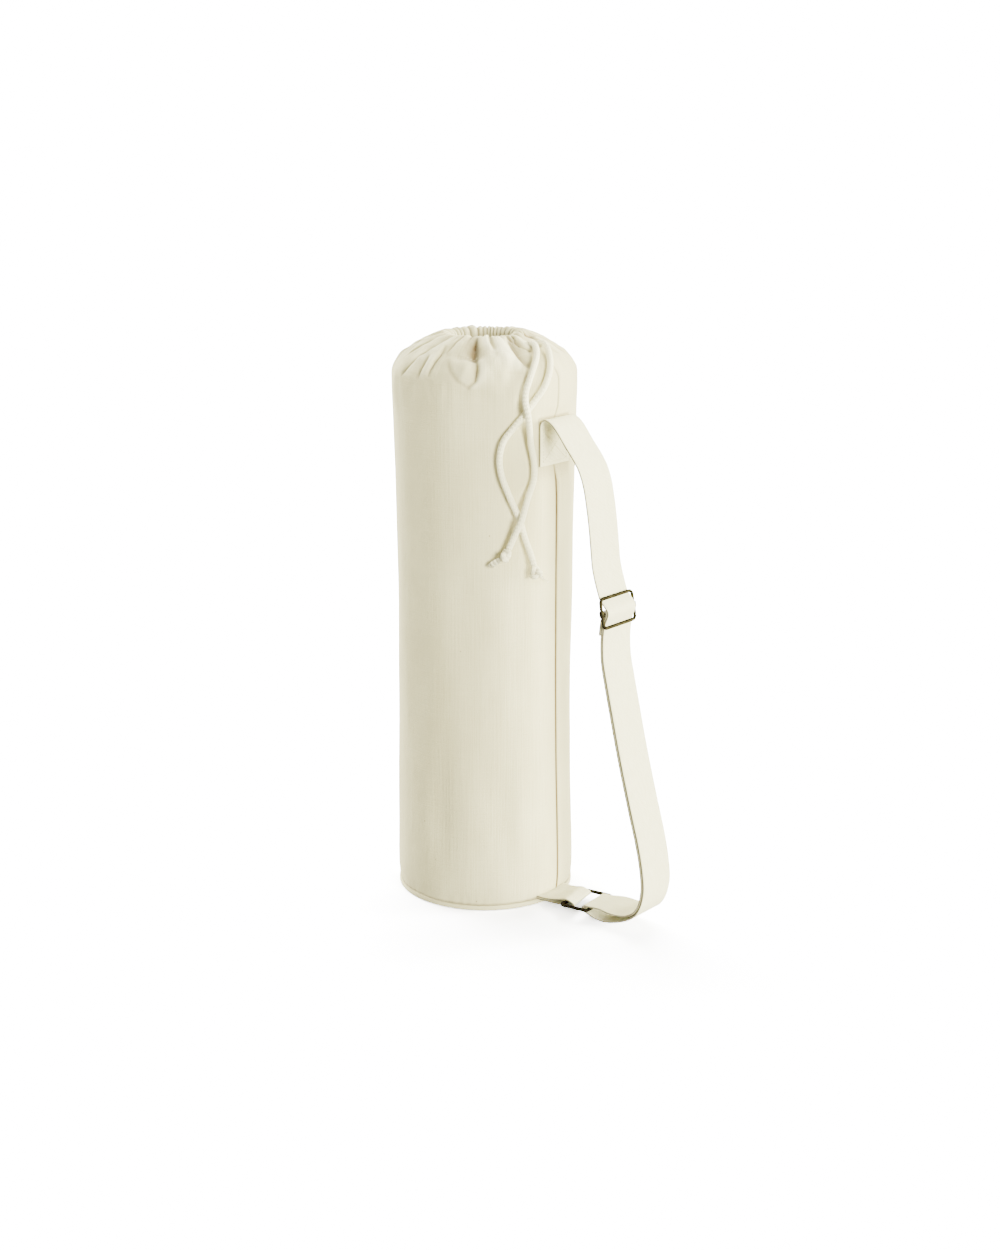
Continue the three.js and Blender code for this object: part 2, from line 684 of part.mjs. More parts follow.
// The stretch of drawcord that the casing holds, from one free end round to the other
function makeHeldCord() {
  const ringDown = bodyHeight - rollHeight;
  const bow = (route, side) => {
    const [first, second] = route.slice(0, 2).map(routePoint);
    const way = second.sub(first).normalize();
    return [
      first.clone().addScaledVector(way, -gap),
      first.clone().addScaledVector(way, -cordRadius),
      routePoint({
        angle: route[0].angle + side * 12, out: cordRingRadius * 1.03 - bodyRadius, down: ringDown,
      }),
    ];
  };
  const ring = Array.from({ length: 15 }, (unused, index) => routePoint({
    angle: 36 + 20.5 * index, out: cordRingRadius - bodyRadius, down: ringDown,
  }));
  const points = [...bow(cordRouteB, 1), ...ring, ...bow(cordRouteA, -1).reverse()];
  return cordAlong(points, cordRadius, 34);
}

// A knot below the end of a cord, with the frayed end of the cord where it shows
function makeKnot(route, tip) {
  const end = routePoint(route.at(-1));
  const way = end.clone().sub(routePoint(route.at(-2))).normalize();
  const centre = end.addScaledVector(way, knotDiameter / 2 + gap);
  const ball = new THREE.SphereGeometry(knotDiameter / 2, 10, 7);
  ball.translate(centre.x, centre.y, centre.z);
  if (!tip) {
    return ball;
  }
  const fray = routePoint(tip).sub(centre);
  const length = fray.length();
  const brush = new THREE.CylinderGeometry(frayWidth / 2, frayWidth / 3, length, 8);
  brush.translate(0, length / 2, 0);
  brush.applyQuaternion(new THREE.Quaternion().setFromUnitVectors(
    new THREE.Vector3(0, 1, 0), fray.normalize()));
  brush.translate(centre.x, centre.y, centre.z);
  return geometryOf(solidOf(ball).add(solidOf(brush)));
}

const slots = [cordRouteA, cordRouteB].map((route) => cordAlong(
  route.slice(0, slotRows).map(routePoint), cordRadius + slotClearance, 8));

addPiece('body_panel', makeBodyPanel(), canvas);
addPiece('mouth_casing', makeCasing(slots), canvas);
addPiece('base_disc', makeBase(), canvas);
addPiece('base_binding', makeBinding(), canvas);
addPiece('strap', makeStrap(), webbingCloth);
addPiece('slider_frame', makeSliderFrame(), brass);
addPiece('slider_bar', makeSliderBar(), brass);
addPiece('base_tab', makeTab(), webbingCloth);
addPiece('base_ring', makeRing(), brass);
addPiece('drawcord_ring', makeHeldCord(), cordCotton);
addPiece('drawcord_a', cordAlong(cordRouteA.map(routePoint), cordRadius, 30), cordCotton);
addPiece('drawcord_b', cordAlong(cordRouteB.map(routePoint), cordRadius, 30), cordCotton);
addPiece('cord_knot_a', makeKnot(cordRouteA, frayTip), cordCotton);
addPiece('cord_knot_b', makeKnot(cordRouteB), cordCotton);

export default bag;
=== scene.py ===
# %% [markdown]
# A bag for a rolled yoga mat
#
# The bag is a tube of undyed cotton canvas with a round base. A drawcord gathers its mouth, and a
# webbing strap hangs from a sewn patch, through a brass slider, to a ring at the base. The packed
# CAD model gives every place and size. This lesson dresses it piece by piece in real cloth,
# webbing, cord and metal.

# %% Load the frame
import json
import math

import bpy
import numpy as np
from mathutils import Matrix, Vector, noise

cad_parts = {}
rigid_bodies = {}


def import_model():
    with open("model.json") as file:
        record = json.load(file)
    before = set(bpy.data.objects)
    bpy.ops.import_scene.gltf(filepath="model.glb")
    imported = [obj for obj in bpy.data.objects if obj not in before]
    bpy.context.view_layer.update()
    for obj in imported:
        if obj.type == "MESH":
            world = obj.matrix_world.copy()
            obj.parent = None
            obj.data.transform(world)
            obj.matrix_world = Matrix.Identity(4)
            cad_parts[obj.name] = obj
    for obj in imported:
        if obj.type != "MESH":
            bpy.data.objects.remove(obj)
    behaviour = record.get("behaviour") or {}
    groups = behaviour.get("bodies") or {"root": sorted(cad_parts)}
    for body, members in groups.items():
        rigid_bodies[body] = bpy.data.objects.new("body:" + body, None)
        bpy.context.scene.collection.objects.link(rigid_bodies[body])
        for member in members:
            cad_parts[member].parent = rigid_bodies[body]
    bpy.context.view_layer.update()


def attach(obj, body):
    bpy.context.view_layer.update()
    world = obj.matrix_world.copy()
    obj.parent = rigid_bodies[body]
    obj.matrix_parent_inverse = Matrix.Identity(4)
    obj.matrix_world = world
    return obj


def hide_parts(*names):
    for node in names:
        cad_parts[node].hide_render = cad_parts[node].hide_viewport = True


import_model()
bpy.ops.object.select_all(action="DESELECT")
MM = 0.001

# %% [markdown]
# The camera stands where the photograph was taken: a little above the bag, about two metres and
# a quarter away, to the strap's side. Its place was measured from the bag's outline, so renders
# and photograph can be laid over each other.

# %% The camera
camera_data = bpy.data.cameras.new("photo_camera")
camera_data.sensor_width = 36.0
camera_data.lens = 57.97
camera = bpy.data.objects.new("photo_camera", camera_data)
bpy.context.scene.collection.objects.link(camera)
camera.location = (1.4180, -1.6826, 0.9201)
aim = Vector((0.0119, 0.0124, 0.3064))
camera.rotation_euler = (aim - camera.location).to_track_quat("-Z", "Y").to_euler()
bpy.context.scene.camera = camera
print("camera distance in m:", round((aim - camera.location).length, 3))

# %% [markdown]
# Cloth and cord follow smooth lines through a few chosen points. A Catmull-Rom curve passes
# through every point it is given, which makes it easy to steer. This is the same curve as the
# CAD model's, so the pieces fall on their solids.


# %% A smooth line through points
def smooth_line(points, steps):
    stops = [np.asarray(point, float) for point in points]
    stops = [2 * stops[0] - stops[1], *stops, 2 * stops[-1] - stops[-2]]
    line = []
    for p0, p1, p2, p3 in zip(stops, stops[1:], stops[2:], stops[3:]):
        t0, t1, t2 = (math.sqrt(np.linalg.norm(b - a)) for a, b in ((p0, p1), (p1, p2), (p2, p3)))
        m1 = ((p1 - p0) / t0 - (p2 - p0) / (t0 + t1) + (p2 - p1) / t1) * t1
        m2 = ((p2 - p1) / t1 - (p3 - p1) / (t1 + t2) + (p3 - p2) / t2) * t1
        for t in np.arange(steps) / steps:
            a = 2 * t**3 - 3 * t**2 + 1
            b = t**3 - 2 * t**2 + t
            line.append(a * p1 + b * m1 + (1 - a) * p2 + (t**3 - t**2) * m2)
    line.append(stops[-2])
    return np.array(line)


def lengths_along(line):
    return np.concatenate([[0], np.cumsum(np.linalg.norm(np.diff(line, axis=0), axis=1))])


# %% [markdown]
# A cord is a tube swept along its line. The ring of points is carried along without twisting,
# and the tube keeps its own UV map in metres, so that a braid can be drawn on it later.


# %% A tube along a line
def mesh_piece(name, points, faces, uvs=None):
    mesh = bpy.data.meshes.new(name)
    mesh.from_pydata([tuple(p) for p in points], [], faces)
    if uvs is not None:
        layer = mesh.uv_layers.new(name="UVMap")
        layer.data.foreach_set("uv", np.asarray(uvs, np.float32).ravel())
    mesh.update()
    piece = bpy.data.objects.new(name, mesh)
    bpy.context.scene.collection.objects.link(piece)
    mesh.shade_smooth()
    return piece


def pick(piece):
    bpy.ops.object.select_all(action="DESELECT")
    piece.select_set(True)
    bpy.context.view_layer.objects.active = piece


def point_outwards(merge=None):
    bpy.ops.object.mode_set(mode="EDIT")
    bpy.ops.mesh.select_all(action="SELECT")
    if merge is not None:
        bpy.ops.mesh.remove_doubles(threshold=merge * MM)
    bpy.ops.mesh.normals_make_consistent(inside=False)
    bpy.ops.object.mode_set(mode="OBJECT")


def unit_rows(vectors):
    return vectors / np.linalg.norm(vectors, axis=1)[:, None]


def ways_of(line):
    return unit_rows(np.gradient(line, axis=0))


def carried_frames(line):
    ways = ways_of(line)
    side = np.cross(ways[0], (0.0, 0.0, 1.0) if abs(ways[0][2]) < 0.9 else (1.0, 0.0, 0.0))
    sides = []
    for way in ways:
        side = side - way * (side @ way)
        side = side / np.linalg.norm(side)
        sides.append(side)
    return ways, np.array(sides), np.cross(ways, np.array(sides))


def tube_data(line, radii, sides):
    ways, across, up = carried_frames(line)
    count = len(line)
    turn = 2 * np.pi * np.arange(sides) / sides
    ring = np.cos(turn)[:, None, None] * across + np.sin(turn)[:, None, None] * up
    points = (line + ring * np.asarray(radii)[:, None]).transpose(1, 0, 2).reshape(-1, 3)
    along = lengths_along(line)
    step = 2 * np.pi * float(np.max(radii)) / sides
    faces, uvs = [], []
    for i in range(count - 1):
        for j in range(sides):
            k = (j + 1) % sides
            faces.append((i * sides + j, i * sides + k, (i + 1) * sides + k, (i + 1) * sides + j))
            uvs += [(j * step, along[i]), ((j + 1) * step, along[i]),
                    ((j + 1) * step, along[i + 1]), (j * step, along[i + 1])]
    faces.append(tuple(range(sides))[::-1])
    faces.append(tuple((count - 1) * sides + j for j in range(sides)))
    uvs += [(0.0, 0.0)] * sides + [(0.0, along[-1])] * sides
    return points, faces, uvs


# %% [markdown]
# The drawcord is braided cotton, seven millimetres thick. Its two free ends come out of the
# casing side by side at the front, cross twice on their way down, and end in knots. The route of
# each is listed as on the bag: degrees round it, millimetres out from it, and millimetres down.
# The cords come before the cloth, so that their room is settled first.

# %% The cords' routes
BAG_RADIUS = 100.0
BAG_HEIGHT = 640.0
CORD = 7.0 * MM


def on_bag(angle, out, down):
    turn = math.radians(angle)
    r = (BAG_RADIUS + out) * MM
    return (r * math.cos(turn), r * math.sin(turn), (BAG_HEIGHT - down) * MM)


route_a = [
    (-3, -42, 11.6), (-3.5, -34, 10.4), (-4.8, -26, 7.6), (-8.2, -17.5, 11), (-13, -8.8, 19.5),
    (-18.5, -0.8, 28), (-23, 4.8, 39), (-26, 7.4, 51), (-26.8, 9.5, 62), (-26, 13, 76),
    (-24.2, 9.5, 92), (-22.2, 6, 110), (-19.9, 5, 128), (-19.7, 4.6, 145), (-24.5, 6.5, 167),
    (-29.2, 11.4, 188), (-33.4, 8.2, 208), (-36.2, 8, 219.5),
]
route_b = [
    (8, -42, 11.6), (7.5, -34, 10.4), (6.6, -26, 7.6), (3.8, -17.5, 11), (-0.5, -8.8, 19.5),
    (-5.2, -0.8, 28), (-10, 4.8, 39), (-14, 7, 49), (-19.8, 6.2, 62), (-26, 5.4, 75.5),
    (-33, 5.2, 89.5), (-38.8, 5, 103), (-41.2, 4.7, 120), (-40.2, 4.4, 139), (-35.8, 4, 161),
    (-29.2, 3.6, 188), (-25.4, 3.8, 210), (-21.6, 6, 231), (-20.6, 8, 240.5),
]
line_a = smooth_line([on_bag(*stop) for stop in route_a], 10)
line_b = smooth_line([on_bag(*stop) for stop in route_b], 10)
print("cord lengths in mm:", [round(lengths_along(l)[-1] / MM) for l in (line_a, line_b)])


# %% The free cords and the held stretch
def cord_piece(name, line, sides):
    return mesh_piece(name, *tube_data(line, np.full(len(line), CORD / 2), sides))


cord_a = cord_piece("free_cord_a", line_a, 24)
cord_b = cord_piece("free_cord_b", line_b, 24)
MOUTH_RADIUS = 38.0
CORD_RING = MOUTH_RADIUS + CORD / 2 / MM + 0.7 + 2.0
RING_DOWN = 9.2


def held_start(route, side):
    first, second = (np.array(on_bag(*stop)) for stop in route[:2])
    way = (second - first) / np.linalg.norm(second - first)
    bow = on_bag(route[0][0] + side * 12, CORD_RING * 1.03 - BAG_RADIUS, RING_DOWN)
    return [first - way * 0.3 * MM, first - way * CORD / 2, bow]


hidden = [on_bag(36 + 20.5 * i, CORD_RING - BAG_RADIUS, RING_DOWN) for i in range(15)]
held = [*held_start(route_b, 1), *hidden, *held_start(route_a, -1)[::-1]]
held_line = smooth_line(held, 8)
held_cord = cord_piece("held_cord", held_line, 16)
print("held stretch in mm:", round(lengths_along(held_line)[-1] / MM))

# %% [markdown]
# Each end is tied in a small overhand knot, which keeps it from slipping back into the casing.
# The line of such a knot is a trefoil: three loops that pass over and under each other. A tube
# along it, pulled in until its strands touch, looks like the tight knot of the real cord. One
# knot ends in a flat brush of opened yarns, the other in a few thin threads. A point attribute
# says how near the knot's heart a point lies, and the cord's finish darkens it by that as painted
# shade. The yarns are scattered by noise with a fixed seed, so they fall the same way each time.


# %% The knots and their frayed ends
noise.seed_set(1)


def knot_data(route, size, roll):
    end, before = (np.array(on_bag(*stop)) for stop in (route[-1], route[-2]))
    way = (end - before) / np.linalg.norm(end - before)
    centre = end + way * size * 0.5
    turn = np.linspace(0, 2 * np.pi, 121)
    loop = np.stack([
        np.sin(turn) + 2 * np.sin(2 * turn), np.cos(turn) - 2 * np.cos(2 * turn),
        -1.25 * np.sin(3 * turn),
    ], axis=1) * size * 0.1
    facing = Vector(way).to_track_quat("Y", "Z").to_matrix() @ Matrix.Rotation(roll, 3, "Y")
    loop = loop @ np.array(facing).T + centre
    return loop, centre


def fray(root, tip, count, spread, thick, seed):
    root, tip = np.asarray(root), np.asarray(tip)
    way = tip - root
    wide = np.cross(way, (root[0], root[1], 0.0))
    wide /= np.linalg.norm(wide)
    flat = np.cross(way, wide)
    flat /= np.linalg.norm(flat)
    strands = []
    for i in range(count):
        share = 2 * (i + 0.5) / count - 1
        wave = noise.noise_vector(Vector((seed, i * 1.7, 0.3)))
        start = root + wide * share * spread * 0.35 + flat * wave.x * 0.0011
        end = tip + wide * (share * spread + wave.y * 0.002) + flat * wave.z * 0.0012
        end = end + way * (0.18 * wave.x - 0.15 * abs(share))
        middle = (start + end) / 2 + wide * share * spread * 0.2 + flat * wave.y * 0.0012
        line = smooth_line([start, middle, end], 4)
        strands.append(tube_data(line, np.linspace(thick, thick * 0.5, len(line)), 5))
    return strands


def joined(name, parts):
    points, faces, uvs, base = [], [], [], 0
    for part_points, part_faces, part_uvs in parts:
        points += [tuple(p) for p in part_points]
        faces += [tuple(i + base for i in face) for face in part_faces]
        uvs += list(part_uvs)
        base += len(part_points)
    return mesh_piece(name, points, faces, uvs)


def knot_piece(name, route, size, roll, tails):
    loop, centre = knot_data(route, size, roll)
    parts = [tube_data(loop, np.full(len(loop), size * 0.2), 18)]
    for tip, count, spread, thick in tails:
        parts += fray(centre, on_bag(*tip), count, spread, thick, len(name))
    knot = joined(name, parts)
    painted_knot_shade = knot.data.attributes.new("painted_shading", "FLOAT", "POINT")
    for vertex, shade in zip(knot.data.vertices, painted_knot_shade.data):
        shade.value = min(max((0.36 - (vertex.co - Vector(centre)).length / size) / 0.16, 0), 1)
    return knot


knot_a = knot_piece("knot_a", route_a, 16.5 * MM, 0.4, [((-47.5, 4.6, 239), 46, 3.4 * MM, 0.34 * MM)])
knot_b = knot_piece("knot_b", route_b, 16 * MM, 1.3, [((-7.5, 3.2, 263.5), 5, 0.8 * MM, 0.42 * MM)])
print("knots:", len(knot_a.data.polygons), len(knot_b.data.polygons), "faces")

# %% [markdown]
# The wall of the bag is drawn by one line from the base up over the shoulder to the mouth, as
# on the CAD model. A point of the cloth is then named by its angle round the bag and by how far
# it lies below the rim along the cloth, in millimetres.

# %% The wall's line
wall_rows = [
    (0.99, 0.0098), (1.008, 0.035), (1.005, 0.13), (0.991, 0.27), (0.984, 0.43), (0.989, 0.6),
    (0.999, 0.74), (1.008, 0.86), (1.014, 0.92), (1.0, 0.939), (0.905, 0.9608), (0.81, 0.9716),
    (0.73, 0.98), (0.62, 0.989), (0.52, 0.994),
]
# The line takes sixteen steps from one row to the next, and the casing's seam is the twelfth row.
WALL_STEPS = 16
SEAM_AT = WALL_STEPS * 11
ROLL_RADIUS = 6.2
ROLL_HEIGHT = BAG_HEIGHT - 3.0 - ROLL_RADIUS
roll_turn = np.radians([90, 120, 150, 180, 210, 240, 270])
over = [(out * BAG_RADIUS, up * BAG_HEIGHT) for out, up in wall_rows]
roll = [(CORD_RING + ROLL_RADIUS * math.cos(turn), ROLL_HEIGHT + ROLL_RADIUS * math.sin(turn))
        for turn in roll_turn]
under = [(52.4, 622.2), (61.0, 618.6), (70.5, 617.0), (77.6, 615.6)]
wall_line = smooth_line([*over, *roll, *under], WALL_STEPS)
wall_along = lengths_along(wall_line)
rim_at = wall_along[WALL_STEPS * len(over)]
wall_ways = ways_of(wall_line)


def wall_at(below):
    along = rim_at - below
    r, z, dr, dz = (np.interp(along, wall_along, column) for column in (*wall_line.T, *wall_ways.T))
    size = np.hypot(dr, dz)
    return r, z, dz / size, -dr / size


seam_below = rim_at - wall_along[SEAM_AT]
print("from rim to floor along the cloth, in mm:", round(rim_at), "casing seam at", round(seam_below, 1))

# %% [markdown]
# Gathered cloth has folds of several kinds. Crisp pleats run down from the rim where the cord
# bunches the cloth. Between them the cloth puffs out, and further down the wall only soft, long
# dents are left. Each kind is a short table, read from the photograph where it shows the bag and
# made up in the same manner round the back. Lengths are millimetres, angles degrees.

# %% Pleats, puffs and dents
# ((angle, below) pairs down the cloth, width, depth, lip, opening). lip: how high one edge of the
# valley is raised, as a share of the depth; above zero it is the edge at larger angles. opening:
# how much narrower the valley is at its upper end, and wider at its lower end, as a share
pleats = [
    ([(-59.6, 2), (-59, 16), (-58.4, 30), (-57.8, 44)], 6.0, 10.0, 0.2, 0.7),
    ([(-55.2, 42), (-54.6, 54), (-54.7, 63), (-55.6, 71), (-59.5, 77)], 2.4, 6.5, 0.9, 0),
    ([(-75, 48), (-71.5, 61), (-66.4, 71), (-60.6, 77)], 3.6, 2.6, 0.8, 0),
    ([(-44.6, 4), (-44, 18), (-42.8, 30)], 2.2, 5.4, -0.7, 0),
    ([(-93.4, 6), (-94.2, 25), (-98.6, 40), (-105, 56), (-110.4, 70)], 2.1, 7.0, 1.0, 0),
    ([(-124, 6), (-129, 25), (-132.4, 42), (-132.6, 55), (-127, 68)], 2.3, 6.5, 1.0, 0),
    ([(-109, 4), (-112.5, 22), (-117, 40), (-120, 54)], 2.0, 4.6, 0.9, 0),
    ([(-86.8, 28), (-85.8, 39), (-86.4, 50), (-87.4, 66)], 2.0, 4.8, -0.9, 0),
    ([(-93, 46), (-93.2, 56), (-94.2, 70)], 1.9, 3.8, 0.9, 0),
    ([(-78, 4), (-79, 20), (-81, 36)], 2.2, 3.0, 0.6, 0),
    ([(-20, 3), (-24.4, 15), (-25.4, 30), (-23.8, 43), (-20.4, 58)], 5.0, 8.5, -1.0, 0),
    ([(-11, 5), (-15.4, 15), (-14.6, 25), (-10.6, 33)], 2.0, 6.5, 0.9, 0),
    ([(14, 4), (17, 22), (20, 44)], 2.4, 2.8, 0.6, 0),
    ([(27, 2), (28, 24), (33, 52)], 2.6, 3.4, -0.7, 0),
    ([(48, 4), (53, 26), (58, 62)], 2.8, 4.0, 0.8, 0),
    ([(72, 2), (75, 20), (76, 44)], 2.2, 2.8, 0.5, 0),
    ([(95, 6), (92, 30), (88, 66)], 2.6, 3.7, -0.8, 0),
    ([(118, 2), (120, 20), (124, 40)], 2.2, 2.8, 0.5, 0),
    ([(134, 6), (137, 30), (142, 76)], 3.0, 4.3, 0.8, 0),
    ([(160, 4), (158, 24), (155, 50)], 2.4, 3.1, -0.6, 0),
    ([(181, 4), (178, 26), (174, 60)], 2.8, 3.7, 0.8, 0),
    ([(206, 4), (210, 28), (216, 66)], 2.6, 4.0, 0.8, 0),
    ([(230, 4), (231, 22), (228, 46)], 2.4, 3.1, -0.6, 0),
]
# (angle, below, half width, half length, height) of soft round forms, below zero for dents
puffs = [
    (-63, 58, 9, 12, 3.4), (-47, 44, 9, 26, 1.6), (-72, 40, 8, 22, 1.6), (-88, 38, 6, 20, 1.4),
    (-38, 40, 12, 26, 2.6), (-101, 40, 7, 18, 1.8), (-121, 84, 11, 30, 2.0), (-118, 36, 7, 20, 1.6),
    (-101, 88, 10, 20, -1.4), (-57.6, 44, 4.4, 12, -2.0), (-52, 88, 15, 7, -1.6), (-68, 84, 14, 8, -1.4),
    (-88, 80, 9, 14, -0.9), (-34, 66, 12, 12, -0.9), (14, 0, 11, 6, 3.2), (15, 9, 6.5, 4.4, -9.0),
    (-3, 28, 6, 8, 2.0), (12, 26, 7, 12, 1.2), (40, 40, 12, 24, 2.2),
    (64, 44, 12, 24, 1.9), (84, 50, 12, 24, 1.8), (108, 44, 14, 24, 2.2), (128, 52, 10, 24, 1.6),
    (150, 46, 10, 22, 1.8), (168, 50, 10, 24, 1.8), (192, 48, 14, 26, 2.3), (222, 50, 10, 24, 1.6),
]
# (angle, height above the floor, half width in degrees, half height, depth)
dents = [
    (-80, 109, 14, 102, 2.1), (-58, 128, 12, 115, -1.2), (-38, 102, 14, 96, 1.8), (-66, 320, 16, 141, 1.5),
    (-100, 269, 16, 192, 1.5), (-28, 352, 12, 192, 1.2), (36, 192, 18, 166, 2.4), (78, 384, 16, 166, 1.8),
    (112, 141, 18, 128, 2.4), (158, 352, 18, 192, 2.1), (200, 160, 16, 141, 1.8), (228, 397, 16, 166, 1.8),
]


def angle_from(degrees, middle):
    return (degrees - middle + 180) % 360 - 180


def arc_from(degrees, middle, r):
    return np.radians(angle_from(degrees, middle)) * r


def hump(distance, reach):
    return 0.5 + 0.5 * np.cos(np.pi * np.clip(np.abs(distance) / reach, 0, 1))


def pleat_shape(degrees, below, r):
    move = np.zeros_like(degrees)
    for pairs, width, depth, lip, opening in pleats:
        angles, stops = np.array(pairs, float).T
        middle = np.interp(below, stops, angles)
        share = (below - stops[0] + 3) / (stops[-1] - stops[0] + 6)
        fade = np.sin(np.pi * np.clip(share, 0, 1)) ** 0.6
        wide = width * (1 + opening * (2 * np.clip(share, 0, 1) - 1))
        away = arc_from(degrees, middle, r) / wide
        valley = -np.exp(-np.abs(away) ** 1.4)
        beside_it = away * np.sign(lip)
        edge = np.exp(-np.clip(beside_it, 0, None) / 2.6) / (1 + np.exp(-4 * np.clip(beside_it, -9, 9)))
        move += depth * fade * (0.9 * valley + 0.85 * abs(lip) * edge)
    return move


def soft_shape(degrees, below, r, z):
    move = np.zeros_like(degrees)
    for angle, middle, wide, long, height in puffs:
        across = arc_from(degrees, angle, r) / wide
        move += height * np.exp(-(across**2) - ((below - middle) / long) ** 2)
    upright = below > 60
    for angle, middle, wide, half, depth in dents:
        move -= upright * depth * hump(angle_from(degrees, angle), wide) * hump(z - middle, half)
    return move


print("pleats:", len(pleats), "puffs:", len(puffs), "dents:", len(dents))

# %% [markdown]
# At the rim the cord bunches the cloth into small gathers, rounded on top and sharp in between.
# Fine wrinkles come from Blender's own noise, stretched along the way the cloth is pulled. The
# strap's patch holds the wall flat where it is sewn on.

# %% Gathers, wrinkles and the whole move of the cloth
FINE_GATHERS, BROAD_GATHERS = 44, 22


def gather_parts(degrees, below):
    turn = np.radians(degrees)
    drift = 1.4 * np.sin(3 * turn + 0.7) + 1.0 * np.sin(5 * turn + 2.1) + 0.8 * np.sin(7 * turn + 4.0)
    size = 0.76 + 0.24 * np.sin(4 * turn + 1.0) * np.sin(9 * turn + 0.4)
    down = np.clip(below, 0, None)
    near = np.exp(-((down / 8) ** 1.6)) * np.clip((below + 26) / 10, 0.1, 1)
    far = (np.exp(-((down / 21) ** 1.4)) - 0.75 * np.exp(-((down / 8) ** 1.6))) * (below > 0)
    fine = np.abs(np.sin((FINE_GATHERS * turn + 1.7 * drift) / 2)) ** 0.7
    broad = np.abs(np.sin((BROAD_GATHERS * turn + drift) / 2)) ** 0.8
    return size, near, far, fine, broad


def gather_shape(degrees, below):
    size, near, far, fine, broad = gather_parts(degrees, below)
    return size * (3.4 * near * fine + 3.2 * far * broad + 0.6 * near * broad)


def wrinkle_shape(x, y, z, degrees, below):
    fine = np.array([noise.noise(Vector((a / 9, b / 9, c / 26))) for a, b, c in zip(x, y, z)])
    broad = np.array([noise.noise(Vector((a / 34 + 7, b / 34, c / 120))) for a, b, c in zip(x, y, z)])
    shoulder = np.exp(-(((below - 45) / 38) ** 2))
    turn = np.radians(degrees)
    foot = np.exp(-(z - 6) / 9) * np.sin(turn * 41 + 5 * np.sin(turn * 7 + 1))
    return 0.3 * fine * (0.5 + 3.4 * shoulder) + 1.1 * broad * np.clip(below / 30, 0, 1) + 0.3 * foot


def cloth_move(degrees, below):
    r, z, _, _ = wall_at(below)
    turn = np.radians(degrees)
    x, y = r * np.cos(turn), r * np.sin(turn)
    creased = np.where(below > -2, pleat_shape(degrees, np.clip(below, 0, None), r), 0)
    soft = np.where(below > -6, soft_shape(degrees, np.clip(below, 0, None), r, z), 0)
    move = creased + soft + gather_shape(degrees, below)
    return move + wrinkle_shape(x, y, z, degrees, below) * (below > -12)


# %% [markdown]
# The side seam is a lapped seam: one edge of the panel lies over the other, with a row of
# stitches. It runs up the strap's side, a little in front of the patch. The lap is a step of
# the surface, so the light from the strap's side leaves a thin dark line beside it, and painted
# shade along the seam makes that line darker.

# %% The cloth's place on the bag
PATCH = {"x": 96.4, "low": 505.0, "high": 552.0, "half": 27.0, "edge": 25.0, "crest": 557.0}


def seam_angle(z):
    return np.interp(z, [0, 32, 300, 500, 555, 600], [4.6, 4.6, 2.8, 0.8, 0.4, 1.4])


def seam_step(degrees, z, r):
    away = arc_from(degrees, seam_angle(z), r)
    lap = np.clip(away / 0.7 + 0.5, 0, 1) * np.clip(1 - (away - 1) / 9, 0, 1)
    line = -0.55 * np.exp(-((away / 0.8) ** 2))
    ends = np.clip((z - 8) / 6, 0, 1) * np.clip((612 - z) / 14, 0, 1)
    return (0.85 * lap + line) * ends


def cloth_place(degrees, below):
    degrees, below = np.atleast_1d(degrees).astype(float), np.atleast_1d(below).astype(float)
    r, z, nr, nz = wall_at(below)
    move = cloth_move(degrees, below)
    move = move + np.where(below > 38, seam_step(degrees, z, r), 0)
    turn = np.radians(degrees)
    out = r + nr * move
    x, y, up = out * np.cos(turn), out * np.sin(turn), z + nz * move
    held = np.clip((PATCH["half"] + 12 - np.abs(y)) / 12, 0, 1) * (np.abs(degrees) < 90)
    held = held * np.clip((up - PATCH["low"] + 22) / 20, 0, 1)
    held = held * np.clip((PATCH["high"] + 16 - up) / 16, 0, 1)
    x = np.where(held > 0, x + (np.minimum(x, PATCH["x"]) - x) * held, x)
    return np.stack([x, y, up], axis=1) * MM


print("seam at", round(float(seam_angle(300)), 1), "degrees halfway up")

# %% [markdown]
# A cutter lays the panel out flat, and a sewer closes it into a tube. The same is done here: a
# flat grid of Blender's is laid out with its UV map in metres, each point is carried to its place
# round the bag, and the two long edges are merged. Rows stand close together only where the
# cloth is folded, and columns only at the seam. Solidify then gives the canvas its thickness. A
# point attribute holds painted shading: painted shade by how deep in a fold, a gather or a seam
# each point lies, and a painted highlight below zero on a ridge. The canvas finish darkens or
# lightens the cloth by it.


# %% A cloth panel rolled into a tube
def smooth_piece(piece, angle=math.radians(40)):
    pick(piece)
    bpy.ops.object.shade_smooth_by_angle(angle=angle)
    piece.select_set(False)


